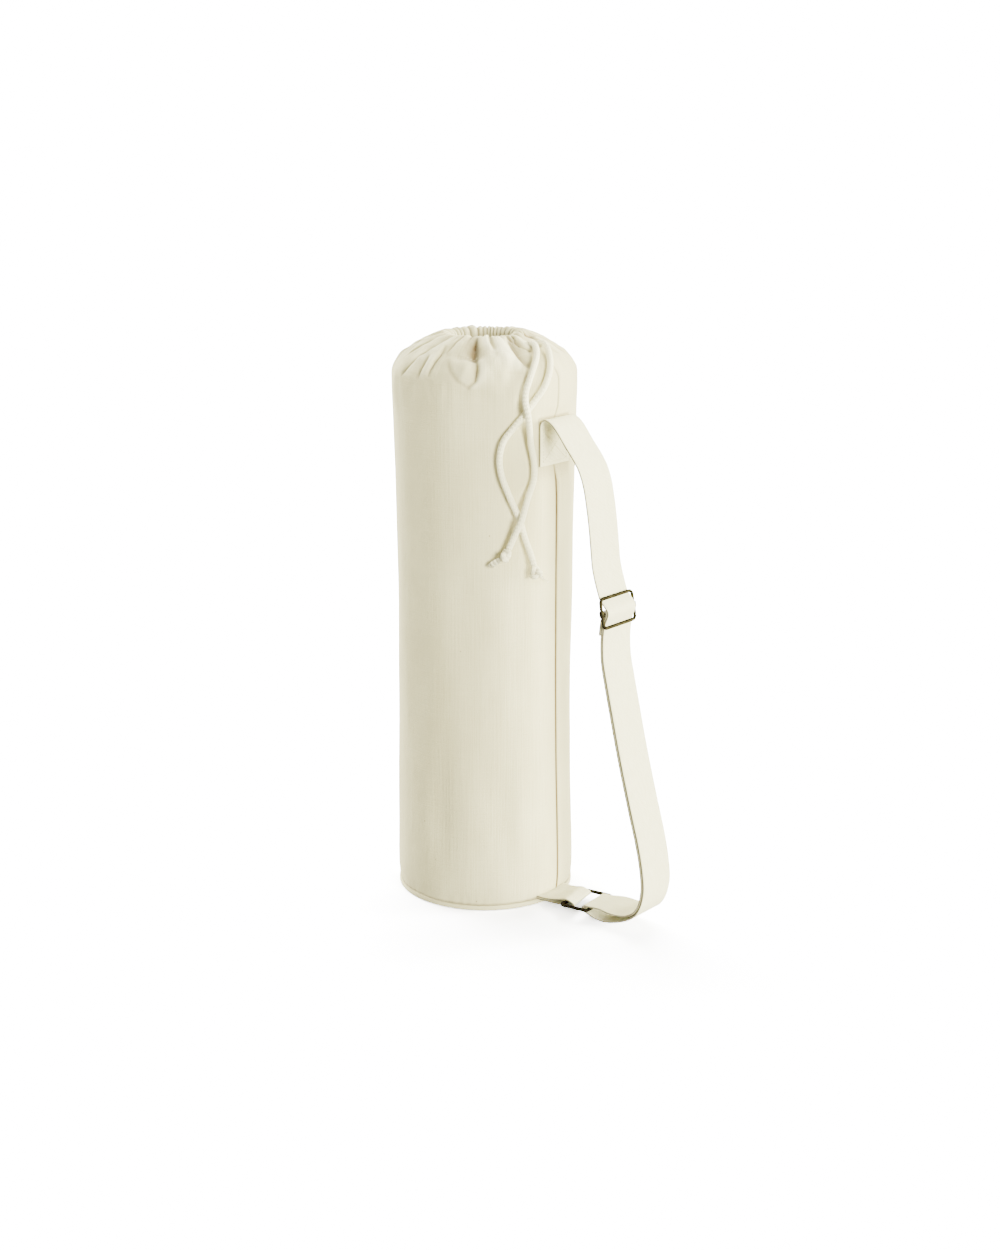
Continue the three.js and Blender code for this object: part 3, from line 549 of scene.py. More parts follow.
def cloth_panel(name, angles, rows, thick):
    bpy.ops.mesh.primitive_grid_add(
        x_subdivisions=len(angles) - 1, y_subdivisions=len(rows) - 1, size=2, calc_uvs=True)
    panel = bpy.context.object
    panel.name = name
    panel.data.name = name
    count = len(panel.data.vertices)
    flat = np.zeros(count * 3)
    panel.data.vertices.foreach_get("co", flat)
    flat = flat.reshape(-1, 3)
    column = np.rint((flat[:, 0] + 1) / 2 * (len(angles) - 1)).astype(int)
    row = np.rint((flat[:, 1] + 1) / 2 * (len(rows) - 1)).astype(int)
    degrees, below = np.asarray(angles)[column], np.asarray(rows)[row]
    panel.data.vertices.foreach_set("co", cloth_place(degrees, below).ravel())
    corner = np.zeros(len(panel.data.loops), np.int32)
    panel.data.loops.foreach_get("vertex_index", corner)
    uv = np.stack([np.radians(degrees) * BAG_RADIUS * MM, (rim_at - below) * MM], axis=1)
    panel.data.uv_layers.active.data.foreach_set("uv", uv[corner].astype(np.float32).ravel())
    painted_shading = panel.data.attributes.new("painted_shading", "FLOAT", "POINT")
    painted_shading.data.foreach_set("value", painted_shading_amount(degrees, below).astype(np.float32))
    point_outwards(0.02)
    wall = panel.modifiers.new("canvas", "SOLIDIFY")
    wall.thickness = thick
    wall.offset = -1
    bpy.ops.object.modifier_apply(modifier=wall.name)
    smooth_piece(panel, math.radians(75))
    return panel


# Painted shading for the canvas: above zero is painted shade in pleat valleys, between gathers, along the
# seam, in the slit, round the patch and above the binding; below zero is a painted highlight on ridges and
# gather tops.
def painted_shading_amount(degrees, below):
    r, z, _, _ = wall_at(below)
    folded = pleat_shape(degrees, np.clip(below, 0, None), r) * (below > -2)
    _, near, far, fine, broad = gather_parts(degrees, below)
    # Painted shade in the hollows between the gathers.
    gathers = (1 - fine) ** 1.3 * near + 0.7 * (1 - broad) ** 1.5 * far
    away = arc_from(degrees, seam_angle(z), r)
    lapped = np.clip((504 - z) / 6, 0, 1)
    # Painted shade along the seam, darker below the patch.
    seam = (0.45 + 1.1 * lapped) * np.exp(-(((away + 0.3) / (1.0 + 0.3 * lapped)) ** 2)) * (below > 42)
    # Painted shade in the dark slit beside the cord exits.
    slit_shade = 2.6 * np.exp(-((angle_from(degrees, 15) / 7.0) ** 2) - ((below - 8.5) / 4.0) ** 2)
    # Painted shade in the join just above the binding.
    foot_shade = 0.9 * np.exp(-((z - 6.2) / 1.1) ** 2)
    y = r * np.sin(np.radians(degrees))
    # Painted shadow round the edge of the strap's patch.
    beyond = np.maximum(np.abs(y) - PATCH["edge"], np.maximum(PATCH["low"] - z, z - PATCH["crest"]))
    patch_edge_shade = 0.75 * np.exp(-((beyond / 1.1) ** 2)) * (np.abs(degrees) < 90)
    # Painted shade in the pleats' valleys.
    valley = 1.25 * np.clip(-folded / 6.0, 0, 1) ** 0.95
    # Painted highlight on the pleats' ridges and on gather tops.
    ridge_highlight = 1.1 * np.clip(folded / 3.0, 0, 1) + 0.5 * np.clip(gathers * -1 + 0.35, 0, 1) * near
    dark = valley + np.clip(gathers, 0, 1) + seam + slit_shade + patch_edge_shade + foot_shade
    return dark - ridge_highlight * (valley + seam + patch_edge_shade < 0.1)


even = np.linspace(-180, 180, 401)
near_seam = np.linspace(-2.5, 9, 41)
columns = np.unique(np.concatenate([even[(even < -2.9) | (even > 9.5)], near_seam]))
casing_columns = np.linspace(-180, 180, 541)
body_low = rim_at - wall_along[0]
body_rows = np.concatenate([
    np.linspace(body_low, body_low - 24, 9), np.linspace(body_low - 36, 132, 30),
    np.linspace(128, seam_below, 56)])
canvas_body = cloth_panel("canvas_body", columns, body_rows, 1.6 * MM)
print("canvas body:", len(canvas_body.data.polygons), "faces")

# %% The casing round the drawcord
casing_low = rim_at - wall_along[-1]
casing_rows = np.concatenate([
    np.linspace(seam_below, 2, 38), np.linspace(0.8, -22, 20), np.linspace(-25, casing_low, 10)])
drawcord_casing = cloth_panel("drawcord_casing", casing_columns, casing_rows, 1.5 * MM)
print("casing:", len(drawcord_casing.data.polygons), "faces")

# %% [markdown]
# Two short slots let the cord's ends out of the casing. A boolean cuts them with a tube that is
# a little thicker than the cord and follows the same line, so each cord fits its slot.

# %% The cord slots
SLOT_CLEARANCE = 0.7 * MM
for line in (line_a, line_b):
    cut_line = line[4:36]
    slot_radii = np.full(len(cut_line), CORD / 2 + SLOT_CLEARANCE)
    cutter = mesh_piece("slot_cutter", *tube_data(cut_line, slot_radii, 20))
    cut = drawcord_casing.modifiers.new("slot", "BOOLEAN")
    cut.operation = "DIFFERENCE"
    cut.solver = "EXACT"
    cut.object = cutter
    bpy.context.view_layer.objects.active = drawcord_casing
    bpy.ops.object.modifier_apply(modifier=cut.name)
    bpy.data.objects.remove(cutter)
print("casing after the slots:", len(drawcord_casing.data.polygons), "faces")

# %% [markdown]
# The base is a round of canvas, and its edge is bound with a folded tape that makes the bag's
# foot. Both are turned forms. The round is a flat cylinder whose faces are inset in rings. The
# binding starts as a circle of its cross-section, spun once round the bag.

# %% The base
BASE_RADIUS, BASE_THICKNESS, BASE_MIDDLE = 96.1, 2.0, 1.1
bpy.ops.mesh.primitive_cylinder_add(
    vertices=160, radius=BASE_RADIUS * MM, depth=BASE_THICKNESS * MM, location=(0, 0, BASE_MIDDLE * MM))
base_round = bpy.context.object
base_round.name = "base_round"
bpy.ops.object.mode_set(mode="EDIT")
bpy.ops.mesh.select_all(action="DESELECT")
bpy.ops.mesh.select_mode(type="FACE")
bpy.ops.object.mode_set(mode="OBJECT")
for face in base_round.data.polygons:
    face.select = abs(face.normal.z) > 0.9
bpy.ops.object.mode_set(mode="EDIT")
for inset in (2.0, 14.0, 20.0, 26.0):
    bpy.ops.mesh.inset(thickness=inset * MM, use_individual=False)
bpy.ops.object.mode_set(mode="OBJECT")
pick(base_round)
bpy.ops.object.transform_apply(location=True, rotation=True, scale=True)
smooth_piece(base_round)

# %% The binding round the base
BINDING_RADIUS, BINDING_MIDDLE = 98.5, 3.1
BINDING_HALF_WIDTH, BINDING_HALF_HEIGHT = 2.0, 2.85
SQUARENESS = 0.7


def squared(share):
    return abs(share) ** SQUARENESS * math.copysign(1, share)


bpy.ops.mesh.primitive_circle_add(
    vertices=20, radius=1, location=(0, 0, 0), rotation=(math.pi / 2, 0, 0))
binding = bpy.context.object
binding.name = "base_piping"
bpy.ops.object.transform_apply(location=True, rotation=True, scale=True)
for vertex in binding.data.vertices:
    turn = math.atan2(vertex.co.z, vertex.co.x)
    x, z = squared(math.cos(turn)), squared(math.sin(turn))
    vertex.co = (BINDING_RADIUS * MM + BINDING_HALF_WIDTH * MM * x, 0,
                 BINDING_MIDDLE * MM + BINDING_HALF_HEIGHT * MM * z)
bpy.ops.object.mode_set(mode="EDIT")
bpy.ops.mesh.select_all(action="SELECT")
bpy.ops.mesh.spin(steps=240, angle=2 * math.pi, center=(0, 0, 0), axis=(0, 0, 1))
point_outwards(0.02)
smooth_piece(binding)
print("binding:", len(binding.data.polygons), "faces")

# %% [markdown]
# The strap is one length of woven cotton tape, fifty millimetres wide. It is drawn from the side
# as one line: up the sewn patch, over the crest, through the slider, down and round the bend
# above the floor, through the ring, and back up inside itself to the slider's middle bar, where
# its end is turned down and sewn. The lists repeat the CAD model's: shares of the named sizes.

# %% The strap's line from the side
PATCH_X, REACH_X = 97.9, 244.4
CREST, BEND_TOP, FLOOR_LAYER = 556.0, 55.6, 1.2
TAPE, LAYER_STEP, LOOSE_STEP = 2.0, 2.3, 3.0
SLIDER_LENGTH, SLIDER_LEAN = 31.6, 10.8
lean = math.radians(SLIDER_LEAN)
slider_way = np.array([math.sin(lean), -math.cos(lean)])
slider_face = np.array([math.cos(lean), math.sin(lean)])
top_bar = np.array([PATCH_X + 85.4, CREST - 183.0])
middle_bar = top_bar + slider_way * SLIDER_LENGTH / 2
lower_bar = top_bar + slider_way * SLIDER_LENGTH
RING_Z, RING_PASS = 11.0, 3.6
print("slider bars at", np.round(top_bar), np.round(middle_bar), np.round(lower_bar))

# %% Helpers for a line in the side view
def arc_line(centre, radius, start, end, steps):
    turn = np.radians(np.linspace(start, end, steps + 1))
    return np.stack([centre[0] + radius * np.cos(turn), centre[1] + radius * np.sin(turn)], axis=1)


def left_of(line):
    ways = ways_of(line)
    return np.stack([-ways[:, 1], ways[:, 0]], axis=1)


def beside(line, distance):
    return line + left_of(line) * np.broadcast_to(distance, len(line))[:, None]


def smooth_share(value, low, high):
    share = np.clip((value - low) / (high - low), 0, 1)
    return share * share * (3 - 2 * share)


def pass_bar(bar, radius, side, turn):
    return bar - slider_way * side * radius * math.sin(turn) + slider_face * side * radius * math.cos(turn)


def between(start, end, rows):
    return [start + np.array(row) * (end - start) for row in rows]


# %% The arch, the run and the bend
arch = [
    (0.021, 0.986), (0.077, 1.0), (0.137, 0.992), (0.214, 0.967), (0.403, 0.86), (0.54, 0.784),
    (0.617, 0.7295), (0.686, 0.648), (0.733, 0.55), (0.781, 0.416), (0.815, 0.284), (0.852, 0.155),
]
run = [
    (-0.08, 0.953), (-0.058, 0.886), (0.02, 0.8275), (0.141, 0.7456), (0.373, 0.5906),
    (0.663, 0.418), (0.855, 0.31), (0.964, 0.2266),
]
bend = [
    (0.968, 0.715), (0.916, 0.517), (0.834, 0.36), (0.675, 0.213), (0.525, 0.126), (0.35, 0.064),
    (0.165, 0.042),
]
inner_bend = [
    (0.114, 0.256), (0.3, 0.295), (0.526, 0.287), (0.679, 0.322), (0.806, 0.412), (0.887, 0.546),
    (0.939, 0.733),
]
RING_INNER, RING_OUTER, FOLD_X = 132.8, 165.29, 160.29
RING_YAW, TAB_YAW, RING_ROLL = (math.radians(value) for value in (10, 16, 5))
frame_pass, inner_pass = 3.2, 3.05
outer_pass = inner_pass + LAYER_STEP
cross = math.asin((frame_pass + outer_pass) / (SLIDER_LENGTH / 2))
STEPS = 6


def strap_line():
    fold = np.array([FOLD_X, FLOOR_LAYER])
    reach = np.array([REACH_X, BEND_TOP])
    control = [(PATCH_X, 526.5), (PATCH_X, 540.8), (PATCH_X, 548.0)]
    control += between(np.array([PATCH_X, top_bar[1]]), np.array([top_bar[0], CREST]), arch)
    control += [pass_bar(top_bar, frame_pass, -1, cross * 0.2), pass_bar(top_bar, frame_pass, -1, cross)]
    control += [pass_bar(middle_bar, outer_pass, 1, turn) for turn in (cross, cross / 2)]
    middle_stop = len(control) * STEPS
    control += [pass_bar(middle_bar, outer_pass, 1, turn) for turn in (0, -cross / 2, -cross)]
    control += [pass_bar(lower_bar, frame_pass, -1, turn) for turn in (-cross, -cross / 2)]
    lower_stop = len(control) * STEPS
    control += [pass_bar(lower_bar, frame_pass, -1, 0)]
    control += between(np.array([lower_bar[0], 0]), np.array([REACH_X, lower_bar[1]]), run)
    bend_stop = len(control) * STEPS
    control += [reach, *between(fold, reach, bend)]
    outer = smooth_line(control, STEPS)
    shared = outer[middle_stop:bend_stop + 1]
    index = np.arange(len(shared)) + middle_stop
    widening = smooth_share(index, lower_stop + STEPS, lower_stop + 4 * STEPS)
    apart = LAYER_STEP + (LOOSE_STEP - LAYER_STEP) * widening
    inner = beside(shared, -apart)[::-1]
    ring_turn = arc_line((FOLD_X, RING_Z), RING_PASS, 280, 80, 20)
    back = smooth_line([ring_turn[-1], *between(fold, reach, inner_bend), inner[0]], STEPS)[1:-1]
    bar_turn = arc_line(middle_bar, inner_pass, SLIDER_LEAN + 30, SLIDER_LEAN + 190, 18)
    tail_start = lower_stop - middle_stop
    away = np.linalg.norm(shared[tail_start:] - middle_bar, axis=1)
    tail = beside(shared, -(2 * LAYER_STEP + 0.5))[tail_start - 3:tail_start + int(np.argmax(away > 28))]
    return np.concatenate([[(PATCH_X, 505.0)], outer, ring_turn, back, inner, bar_turn, tail])


def even_line(line, spacing, softness):
    along = lengths_along(line)
    stops = np.linspace(0, along[-1], int(along[-1] / spacing) + 1)
    line = np.stack([np.interp(stops, along, column) for column in line.T], axis=1)
    for _ in range(softness):
        line[1:-1] = 0.25 * line[:-2] + 0.5 * line[1:-1] + 0.25 * line[2:]
    return line


strap_side = even_line(strap_line(), 1.2, 3)
print("strap length in mm:", round(lengths_along(strap_side)[-1]))

# %% [markdown]
# Webbing has a flat face and thick woven edges. The band below is one cross-section carried
# along the side line: flat in the middle, a little thicker at both edges, and rounded there. The
# part near the ring lies askew, because the ring does.


# %% A band of webbing
HALF_WIDTH = 25.0


def band_section(half, thick):
    across = np.linspace(-half + 0.9, half - 0.9, 15)
    swell = 0.9 + 0.1 * np.clip((np.abs(across) - half + 4) / 2, 0, 1)
    top = [(y, thick * s) for y, s in zip(across, swell)]
    edge = [(half - 0.25, thick * 0.72), (half, 0.0), (half - 0.25, -thick * 0.72)]
    low = [(y, -h) for y, h in top[::-1]]
    other = [(-y, -h) for y, h in edge]
    return np.array(top + edge + low + other)


def askew(points, yaw):
    x, y, z = points.T
    share = smooth_share(x, 104.4, RING_INNER - 2)
    share = share * (1 - smooth_share(x, RING_OUTER + 4, RING_OUTER + 32))
    share = share * (1 - smooth_share(z, BEND_TOP / 2, BEND_TOP))
    return np.stack([x - y * math.tan(yaw) * share, y, z - y * math.tan(RING_ROLL) * share], axis=1)


def webbing_band(name, line, yaw, bend_to=None):
    section = band_section(HALF_WIDTH, TAPE / 2)
    left = left_of(line)
    count, ring = len(line), len(section)
    side = line[:, None, :] + left[:, None, :] * section[None, :, 1, None]
    wide = np.broadcast_to(section[:, 0], (count, ring))
    points = np.stack([side[..., 0], wide, side[..., 1]], axis=-1)
    points = askew(points.reshape(-1, 3), yaw)
    if bend_to is not None:
        points = bend_to(points)
    along = lengths_along(line) * MM
    faces, uvs = [], []
    for i in range(count - 1):
        for j in range(ring):
            k = (j + 1) % ring
            faces.append((i * ring + j, (i + 1) * ring + j, (i + 1) * ring + k, i * ring + k))
            a, b = section[j][0] * MM, section[k][0] * MM
            uvs += [(a, along[i]), (a, along[i + 1]), (b, along[i + 1]), (b, along[i])]
    faces.append(tuple(range(ring)))
    faces.append(tuple((count - 1) * ring + j for j in range(ring))[::-1])
    uvs += [(section[j][0] * MM, 0.0) for j in range(ring)]
    uvs += [(section[j][0] * MM, along[-1]) for j in range(ring)][::-1]
    piece = mesh_piece(name, points * MM, faces, uvs)
    pick(piece)
    point_outwards()
    smooth_piece(piece, math.radians(60))
    return piece


webbing_strap = webbing_band("webbing_strap", strap_side, RING_YAW)
print("strap:", len(webbing_strap.data.polygons), "faces")

# %% [markdown]
# The tab is a short loop of the same webbing. It comes out of the seam above the base, follows
# the wall's curve there, and holds the ring in its fold.

# %% The tab
TAB_RADIUS, TAB_TOP, TAB_UNDER = 99.9, 9.6, 7.3
tab_fold = np.array([141.3, RING_Z])
tab_reach = tab_fold[0] - TAB_RADIUS
tab_upper = [(0, 0), (0.3, 0.12), (0.56, 0.6), (0.73, 1), (0.84, 1)]
tab_lower = [(0, 0), (0.3, 0.3), (0.56, 0.75), (0.73, 1), (0.84, 1)]
upper = [(TAB_RADIUS + out * tab_reach, TAB_TOP + up * (RING_Z + RING_PASS - TAB_TOP))
         for out, up in tab_upper]
lower = [(TAB_RADIUS + out * tab_reach, TAB_UNDER + up * (RING_Z - RING_PASS - TAB_UNDER))
         for out, up in tab_lower]
tab_turn = arc_line(tab_fold, 1.7, 90, -90, 14)
tab_top = smooth_line([*upper, tab_turn[0]], 6)[:-1]
tab_under = smooth_line([tab_turn[-1], *lower[::-1]], 6)[1:]
tab_side = even_line(np.concatenate([tab_top, tab_turn, tab_under]), 0.9, 3)


def round_the_wall(points):
    near = 1 - smooth_share(points[:, 0], BAG_RADIUS, BAG_RADIUS + 22)
    sink = TAB_RADIUS - np.sqrt(TAB_RADIUS**2 - points[:, 1] ** 2)
    return points - np.outer(near * sink, (1, 0, 0))


webbing_tab = webbing_band("webbing_tab", tab_side, TAB_YAW, round_the_wall)
print("tab:", len(webbing_tab.data.polygons), "faces")

# %% [markdown]
# The slider and the ring are bent from round brass wire. A plane loses its face and keeps its
# edges, its corners are bevelled round, and the outline becomes a curve with a round section.
# That is how a wire bender works too: one wire, four bends, and a joint that hardly shows.


# %% A closed frame of wire
def wire_frame(name, width, length, wire, corner, place):
    bpy.ops.object.select_all(action="DESELECT")
    bpy.ops.mesh.primitive_plane_add(size=1)
    frame_piece = bpy.context.object
    frame_piece.name = name
    frame_piece.scale = (width * MM, length * MM, 1)
    bpy.ops.object.transform_apply(location=True, rotation=True, scale=True)
    bpy.ops.object.mode_set(mode="EDIT")
    bpy.ops.mesh.select_all(action="SELECT")
    bpy.ops.mesh.delete(type="ONLY_FACE")
    bpy.ops.mesh.select_all(action="SELECT")
    bpy.ops.mesh.bevel(offset=corner * MM, segments=8, affect="VERTICES")
    bpy.ops.mesh.select_all(action="SELECT")
    bpy.ops.mesh.subdivide(number_cuts=3)
    bpy.ops.object.mode_set(mode="OBJECT")
    bpy.ops.object.convert(target="CURVE")
    frame_piece.data.dimensions = "3D"
    frame_piece.data.fill_mode = "FULL"
    frame_piece.data.bevel_depth = wire / 2 * MM
    frame_piece.data.bevel_resolution = 6
    bpy.ops.object.convert(target="MESH")
    frame_piece = bpy.context.object
    frame_piece.data.transform(place)
    point_outwards(0.01)
    frame_piece.data.name = name
    frame_piece.data.shade_smooth()
    frame_piece.select_set(False)
    return frame_piece


def placed(x_way, y_way, centre):
    x_way, y_way = Vector(x_way).normalized(), Vector(y_way).normalized()
    turned = Matrix((x_way, y_way, x_way.cross(y_way))).transposed().to_4x4()
    turned.translation = Vector(centre) * MM
    return turned


SLIDER_WIRE, SLIDER_EDGE_GAP, RING_WIRE, RING_EDGE_GAP = 3.5, 1.55, 4.0, 3.8
SIDE_WIRE = (2 * HALF_WIDTH + 2 * SLIDER_EDGE_GAP + SLIDER_WIRE) / 2
slider_place = placed((0, 1, 0), (slider_way[0], 0, slider_way[1]), (middle_bar[0], 0, middle_bar[1]))
slider_wire = wire_frame("slider_wire", 2 * SIDE_WIRE, SLIDER_LENGTH, SLIDER_WIRE, 5.0, slider_place)
bar_way = Vector((-math.tan(RING_YAW), 1, -math.tan(RING_ROLL))).normalized()
ring_way = (Vector((1, 0, 0)) - bar_way * bar_way.x).normalized()
ring_width = 2 * HALF_WIDTH / bar_way.y + 2 * RING_EDGE_GAP + RING_WIRE
ring_place = placed(bar_way, ring_way, ((RING_INNER + RING_OUTER) / 2, 0, RING_Z))
ring_wire = wire_frame("ring_wire", ring_width, 32.0, RING_WIRE, 3.5, ring_place)
print("slider and ring:", len(slider_wire.data.polygons), len(ring_wire.data.polygons), "faces")


# %% The slider's middle bar, with a collar round each side wire
def wire_cylinder(radius, length, way, centre, ends):
    bpy.ops.object.select_all(action="DESELECT")
    bpy.ops.mesh.primitive_cylinder_add(
        vertices=24, radius=radius * MM, depth=length * MM, end_fill_type=ends)
    piece = bpy.context.object
    turn = Vector((0, 0, 1)).rotation_difference(Vector(way)).to_matrix().to_4x4()
    turn.translation = Vector(centre) * MM
    piece.data.transform(turn)
    return piece


middle = (middle_bar[0], 0, middle_bar[1])
slider_long = (slider_way[0], 0, slider_way[1])
parts = [wire_cylinder(1.6, 2 * (SIDE_WIRE - 2.3), (0, 1, 0), middle, "NGON")]
for side in (-1, 1):
    collar = wire_cylinder(2.95, 6.0, slider_long, (middle[0], side * SIDE_WIRE, middle[2]), "NOTHING")
    shell = collar.modifiers.new("wall", "SOLIDIFY")
    shell.thickness = 0.95 * MM
    shell.offset = -1
    bpy.ops.object.modifier_apply(modifier=shell.name)
    parts.append(collar)
bpy.ops.object.select_all(action="DESELECT")
for piece in parts:
    piece.select_set(True)
bpy.context.view_layer.objects.active = parts[0]
bpy.ops.object.join()
slider_bar = bpy.context.object
slider_bar.name = "slider_bar_and_collars"
edges = slider_bar.modifiers.new("worn edges", "BEVEL")
edges.width = 0.25 * MM
edges.segments = 2
edges.limit_method = "ANGLE"
bpy.ops.object.modifier_apply(modifier=edges.name)
smooth_piece(slider_bar)
print("middle bar:", len(slider_bar.data.polygons), "faces")

# %% [markdown]
# Stitches are small, but they show how a bag is made: one row round the casing, one beside the
# side seam, a box with a cross on the strap's patch, and a box that closes the strap's end. One
# stitch is modelled as a small rounded bar, and it is copied to every place in a row.


# %% Stitches
def stitch_shape():
    bpy.ops.object.select_all(action="DESELECT")
    bpy.ops.mesh.primitive_uv_sphere_add(segments=8, ring_count=6, radius=1)
    ball = bpy.context.object
    ball.rotation_euler = (0, math.pi / 2, 0)
    bpy.ops.object.transform_apply(location=True, rotation=True, scale=True)
    points = np.array([v.co[:] for v in ball.data.vertices])
    faces = [tuple(face.vertices) for face in ball.data.polygons]
    bpy.data.objects.remove(ball)
    points[:, 0] = np.sign(points[:, 0]) * np.abs(points[:, 0]) ** 0.7
    return points, faces


stitch_points, stitch_faces = stitch_shape()


def stitch_rows(name, rows, length=2.3, thick=0.42):
    points, faces, base = [], [], 0
    for centres, normals in rows:
        ways = ways_of(centres)
        across = np.cross(normals, ways)
        size = np.array([length / 2, thick, thick * 0.8]) * MM
        for centre, way, side, up in zip(centres, ways, across, normals):
            bar = stitch_points * size
            points.append(centre + bar[:, :1] * way + bar[:, 1:2] * side + bar[:, 2:] * up)
            faces += [tuple(i + base for i in face) for face in stitch_faces]
            base += len(stitch_points)
    return mesh_piece(name, np.concatenate(points), faces)


def cloth_row(degrees, below, lift=0.1):
    here = cloth_place(degrees, below)
    right = cloth_place(degrees + 0.3, below) - here
    down = cloth_place(degrees, below + 0.4) - here
    normal = unit_rows(np.cross(down, right))
    return here + normal * lift * MM, normal


CASING_STITCHES, SEAM_STITCHES = 154, 174
round_the_casing = np.linspace(-180, 180, CASING_STITCHES + 1)[:-1]
casing_row = cloth_row(round_the_casing, np.full(CASING_STITCHES, seam_below - 3.0), -0.18)
seam_heights = np.linspace(12, 604, SEAM_STITCHES)
seam_belows = rim_at - np.interp(seam_heights, wall_line[:SEAM_AT, 1], wall_along[:SEAM_AT])
seam_degrees = seam_angle(seam_heights) + np.degrees(3.6 / BAG_RADIUS)
seam_row = cloth_row(seam_degrees, seam_belows)
cloth_stitches = stitch_rows("cloth_stitches", [casing_row, seam_row])
print("stitches in the cloth:", CASING_STITCHES + SEAM_STITCHES)


# %% The box and cross on the patch, and the strap's sewn end
BOX_HALF, BOX_LOW, BOX_HEIGHT = 20, 509, 34
END_BOX = (4.0, 16.0)


def stitch_line(start, end, spacing=3.2):
    start, end = np.array(start), np.array(end)
    count = max(int(np.linalg.norm(end - start) / (spacing * MM)), 2)
    return start + (end - start) * ((np.arange(count) + 0.5) / count)[:, None]


def stitch_box(corner_at, normal, cross_too):
    corners = [corner_at(*uv) for uv in ((0, 0), (1, 0), (1, 1), (0, 1))]
    pairs = [(0, 1), (1, 2), (2, 3), (3, 0)] + ([(0, 2), (1, 3)] if cross_too else [])
    rows = []
    for a, b in pairs:
        centres = stitch_line(corners[a], corners[b])
        rows.append((centres, np.tile(normal, (len(centres), 1))))
    return rows


def patch_corner(u, v):
    return ((PATCH_X + TAPE / 2) * MM, BOX_HALF * (2 * u - 1) * MM, (BOX_LOW + BOX_HEIGHT * v) * MM)


end_along = lengths_along(strap_side)
end_spots = [np.array([np.interp(end_along[-1] - back, end_along, column) for column in strap_side.T])
             for back in END_BOX]
end_way = (end_spots[0] - end_spots[1]) / np.linalg.norm(end_spots[0] - end_spots[1])
end_left = np.array([-end_way[1], end_way[0]])
outward = end_left if end_left[0] < 0 else -end_left


def end_corner(u, v):
    spot = end_spots[0] + (end_spots[1] - end_spots[0]) * v + outward * TAPE / 2
    return (spot[0] * MM, BOX_HALF * (2 * u - 1) * MM, spot[1] * MM)


patch_rows = stitch_box(patch_corner, (1.0, 0.0, 0.0), True)
end_rows = stitch_box(end_corner, (outward[0], 0.0, outward[1]), False)
webbing_stitches = stitch_rows("webbing_stitches", patch_rows + end_rows, 2.6, 0.5)
print("stitch rows in the webbing:", len(patch_rows) + len(end_rows))

# %% [markdown]
# All finishes are built from nodes. A small helper makes a node, sets what it is given, and wires
# the rest, so that each material below reads as a short recipe. Cloth is matt and a little
# fuzzy, so it gets sheen and no gloss to speak of. The weave is bump, with a little colour in the
# threads and ribs.


# %% A recipe for a material
class Recipe:
    def __init__(self, name, roughness, metallic=0.0):
        self.material = bpy.data.materials.new(name)
        self.material.use_nodes = True
        self.tree = self.material.node_tree
        self.shader = self.tree.nodes["Principled BSDF"]
        self.set(Roughness=roughness, Metallic=metallic)

    def add(self, kind, settings=None, **inputs):
        node = self.tree.nodes.new(kind)
        for key, value in (settings or {}).items():
            setattr(node, key, value)
        for key, value in inputs.items():
            numbered = key[0] == "i" and key[1:].isdigit()
            self.give(node.inputs[int(key[1:]) if numbered else key], value)
        return node

    def give(self, socket, value):
        if isinstance(value, bpy.types.NodeSocket):
            self.tree.links.new(value, socket)
        else:
            socket.default_value = value

    def calc(self, operation, *values):
        inputs = {f"i{i}": value for i, value in enumerate(values)}
        return self.add("ShaderNodeMath", {"operation": operation}, **inputs).outputs[0]

    def times(self, first, second):
        return self.calc("MULTIPLY", first, second)

    def plus(self, first, second):
        return self.calc("ADD", first, second)

    def wave(self, value, length):
        return self.calc("SINE", self.times(value, 2 * math.pi / length))

    def coordinate(self, name):
        return self.add("ShaderNodeTexCoord").outputs[name]

    def attribute(self, name):
        return self.add("ShaderNodeAttribute", {"attribute_name": name}).outputs["Fac"]

    def noise(self, vector, scale, detail=2.0, rough=0.5):
        inputs = {"Vector": vector, "Scale": scale, "Detail": detail, "Roughness": rough}
        return self.add("ShaderNodeTexNoise", None, **inputs).outputs["Fac"]

    def scaled(self, vector, scale):
        mapping = self.add("ShaderNodeMapping", {"vector_type": "POINT"}, Vector=vector, Scale=scale)
        return mapping.outputs[0]

    def mix(self, share, first, second):
        node = self.add("ShaderNodeMix", {"data_type": "RGBA"})
        self.give(node.inputs[0], share)
        for number, color in ((6, first), (7, second)):
            self.give(node.inputs[number], (*color, 1.0) if isinstance(color, tuple) else color)
        return node.outputs[2]

    def set(self, **values):
        for name, value in values.items():
            self.give(self.shader.inputs[name.replace("_", " ")], value)

    def between(self, value, low, high):
        inputs = {"i0": value, "i1": low, "i2": high}
        return self.add("ShaderNodeMapRange", {"clamp": True}, **inputs).outputs[0]

    def relief(self, height, distance, strength=1.0):
        inputs = {"Height": height, "Distance": distance, "Strength": strength}
        return self.add("ShaderNodeBump", None, **inputs).outputs[0]

    def finish(self, color, normal):
        self.set(Base_Color=color, Normal=normal)
        return self.material


def woven(recipe, uv, across, along):
    parts = recipe.add("ShaderNodeSeparateXYZ", None, Vector=uv)
    warp = recipe.wave(parts.outputs[0], across)
    weft = recipe.wave(parts.outputs[1], along)
    return recipe.times(warp, weft)


print("recipes ready")
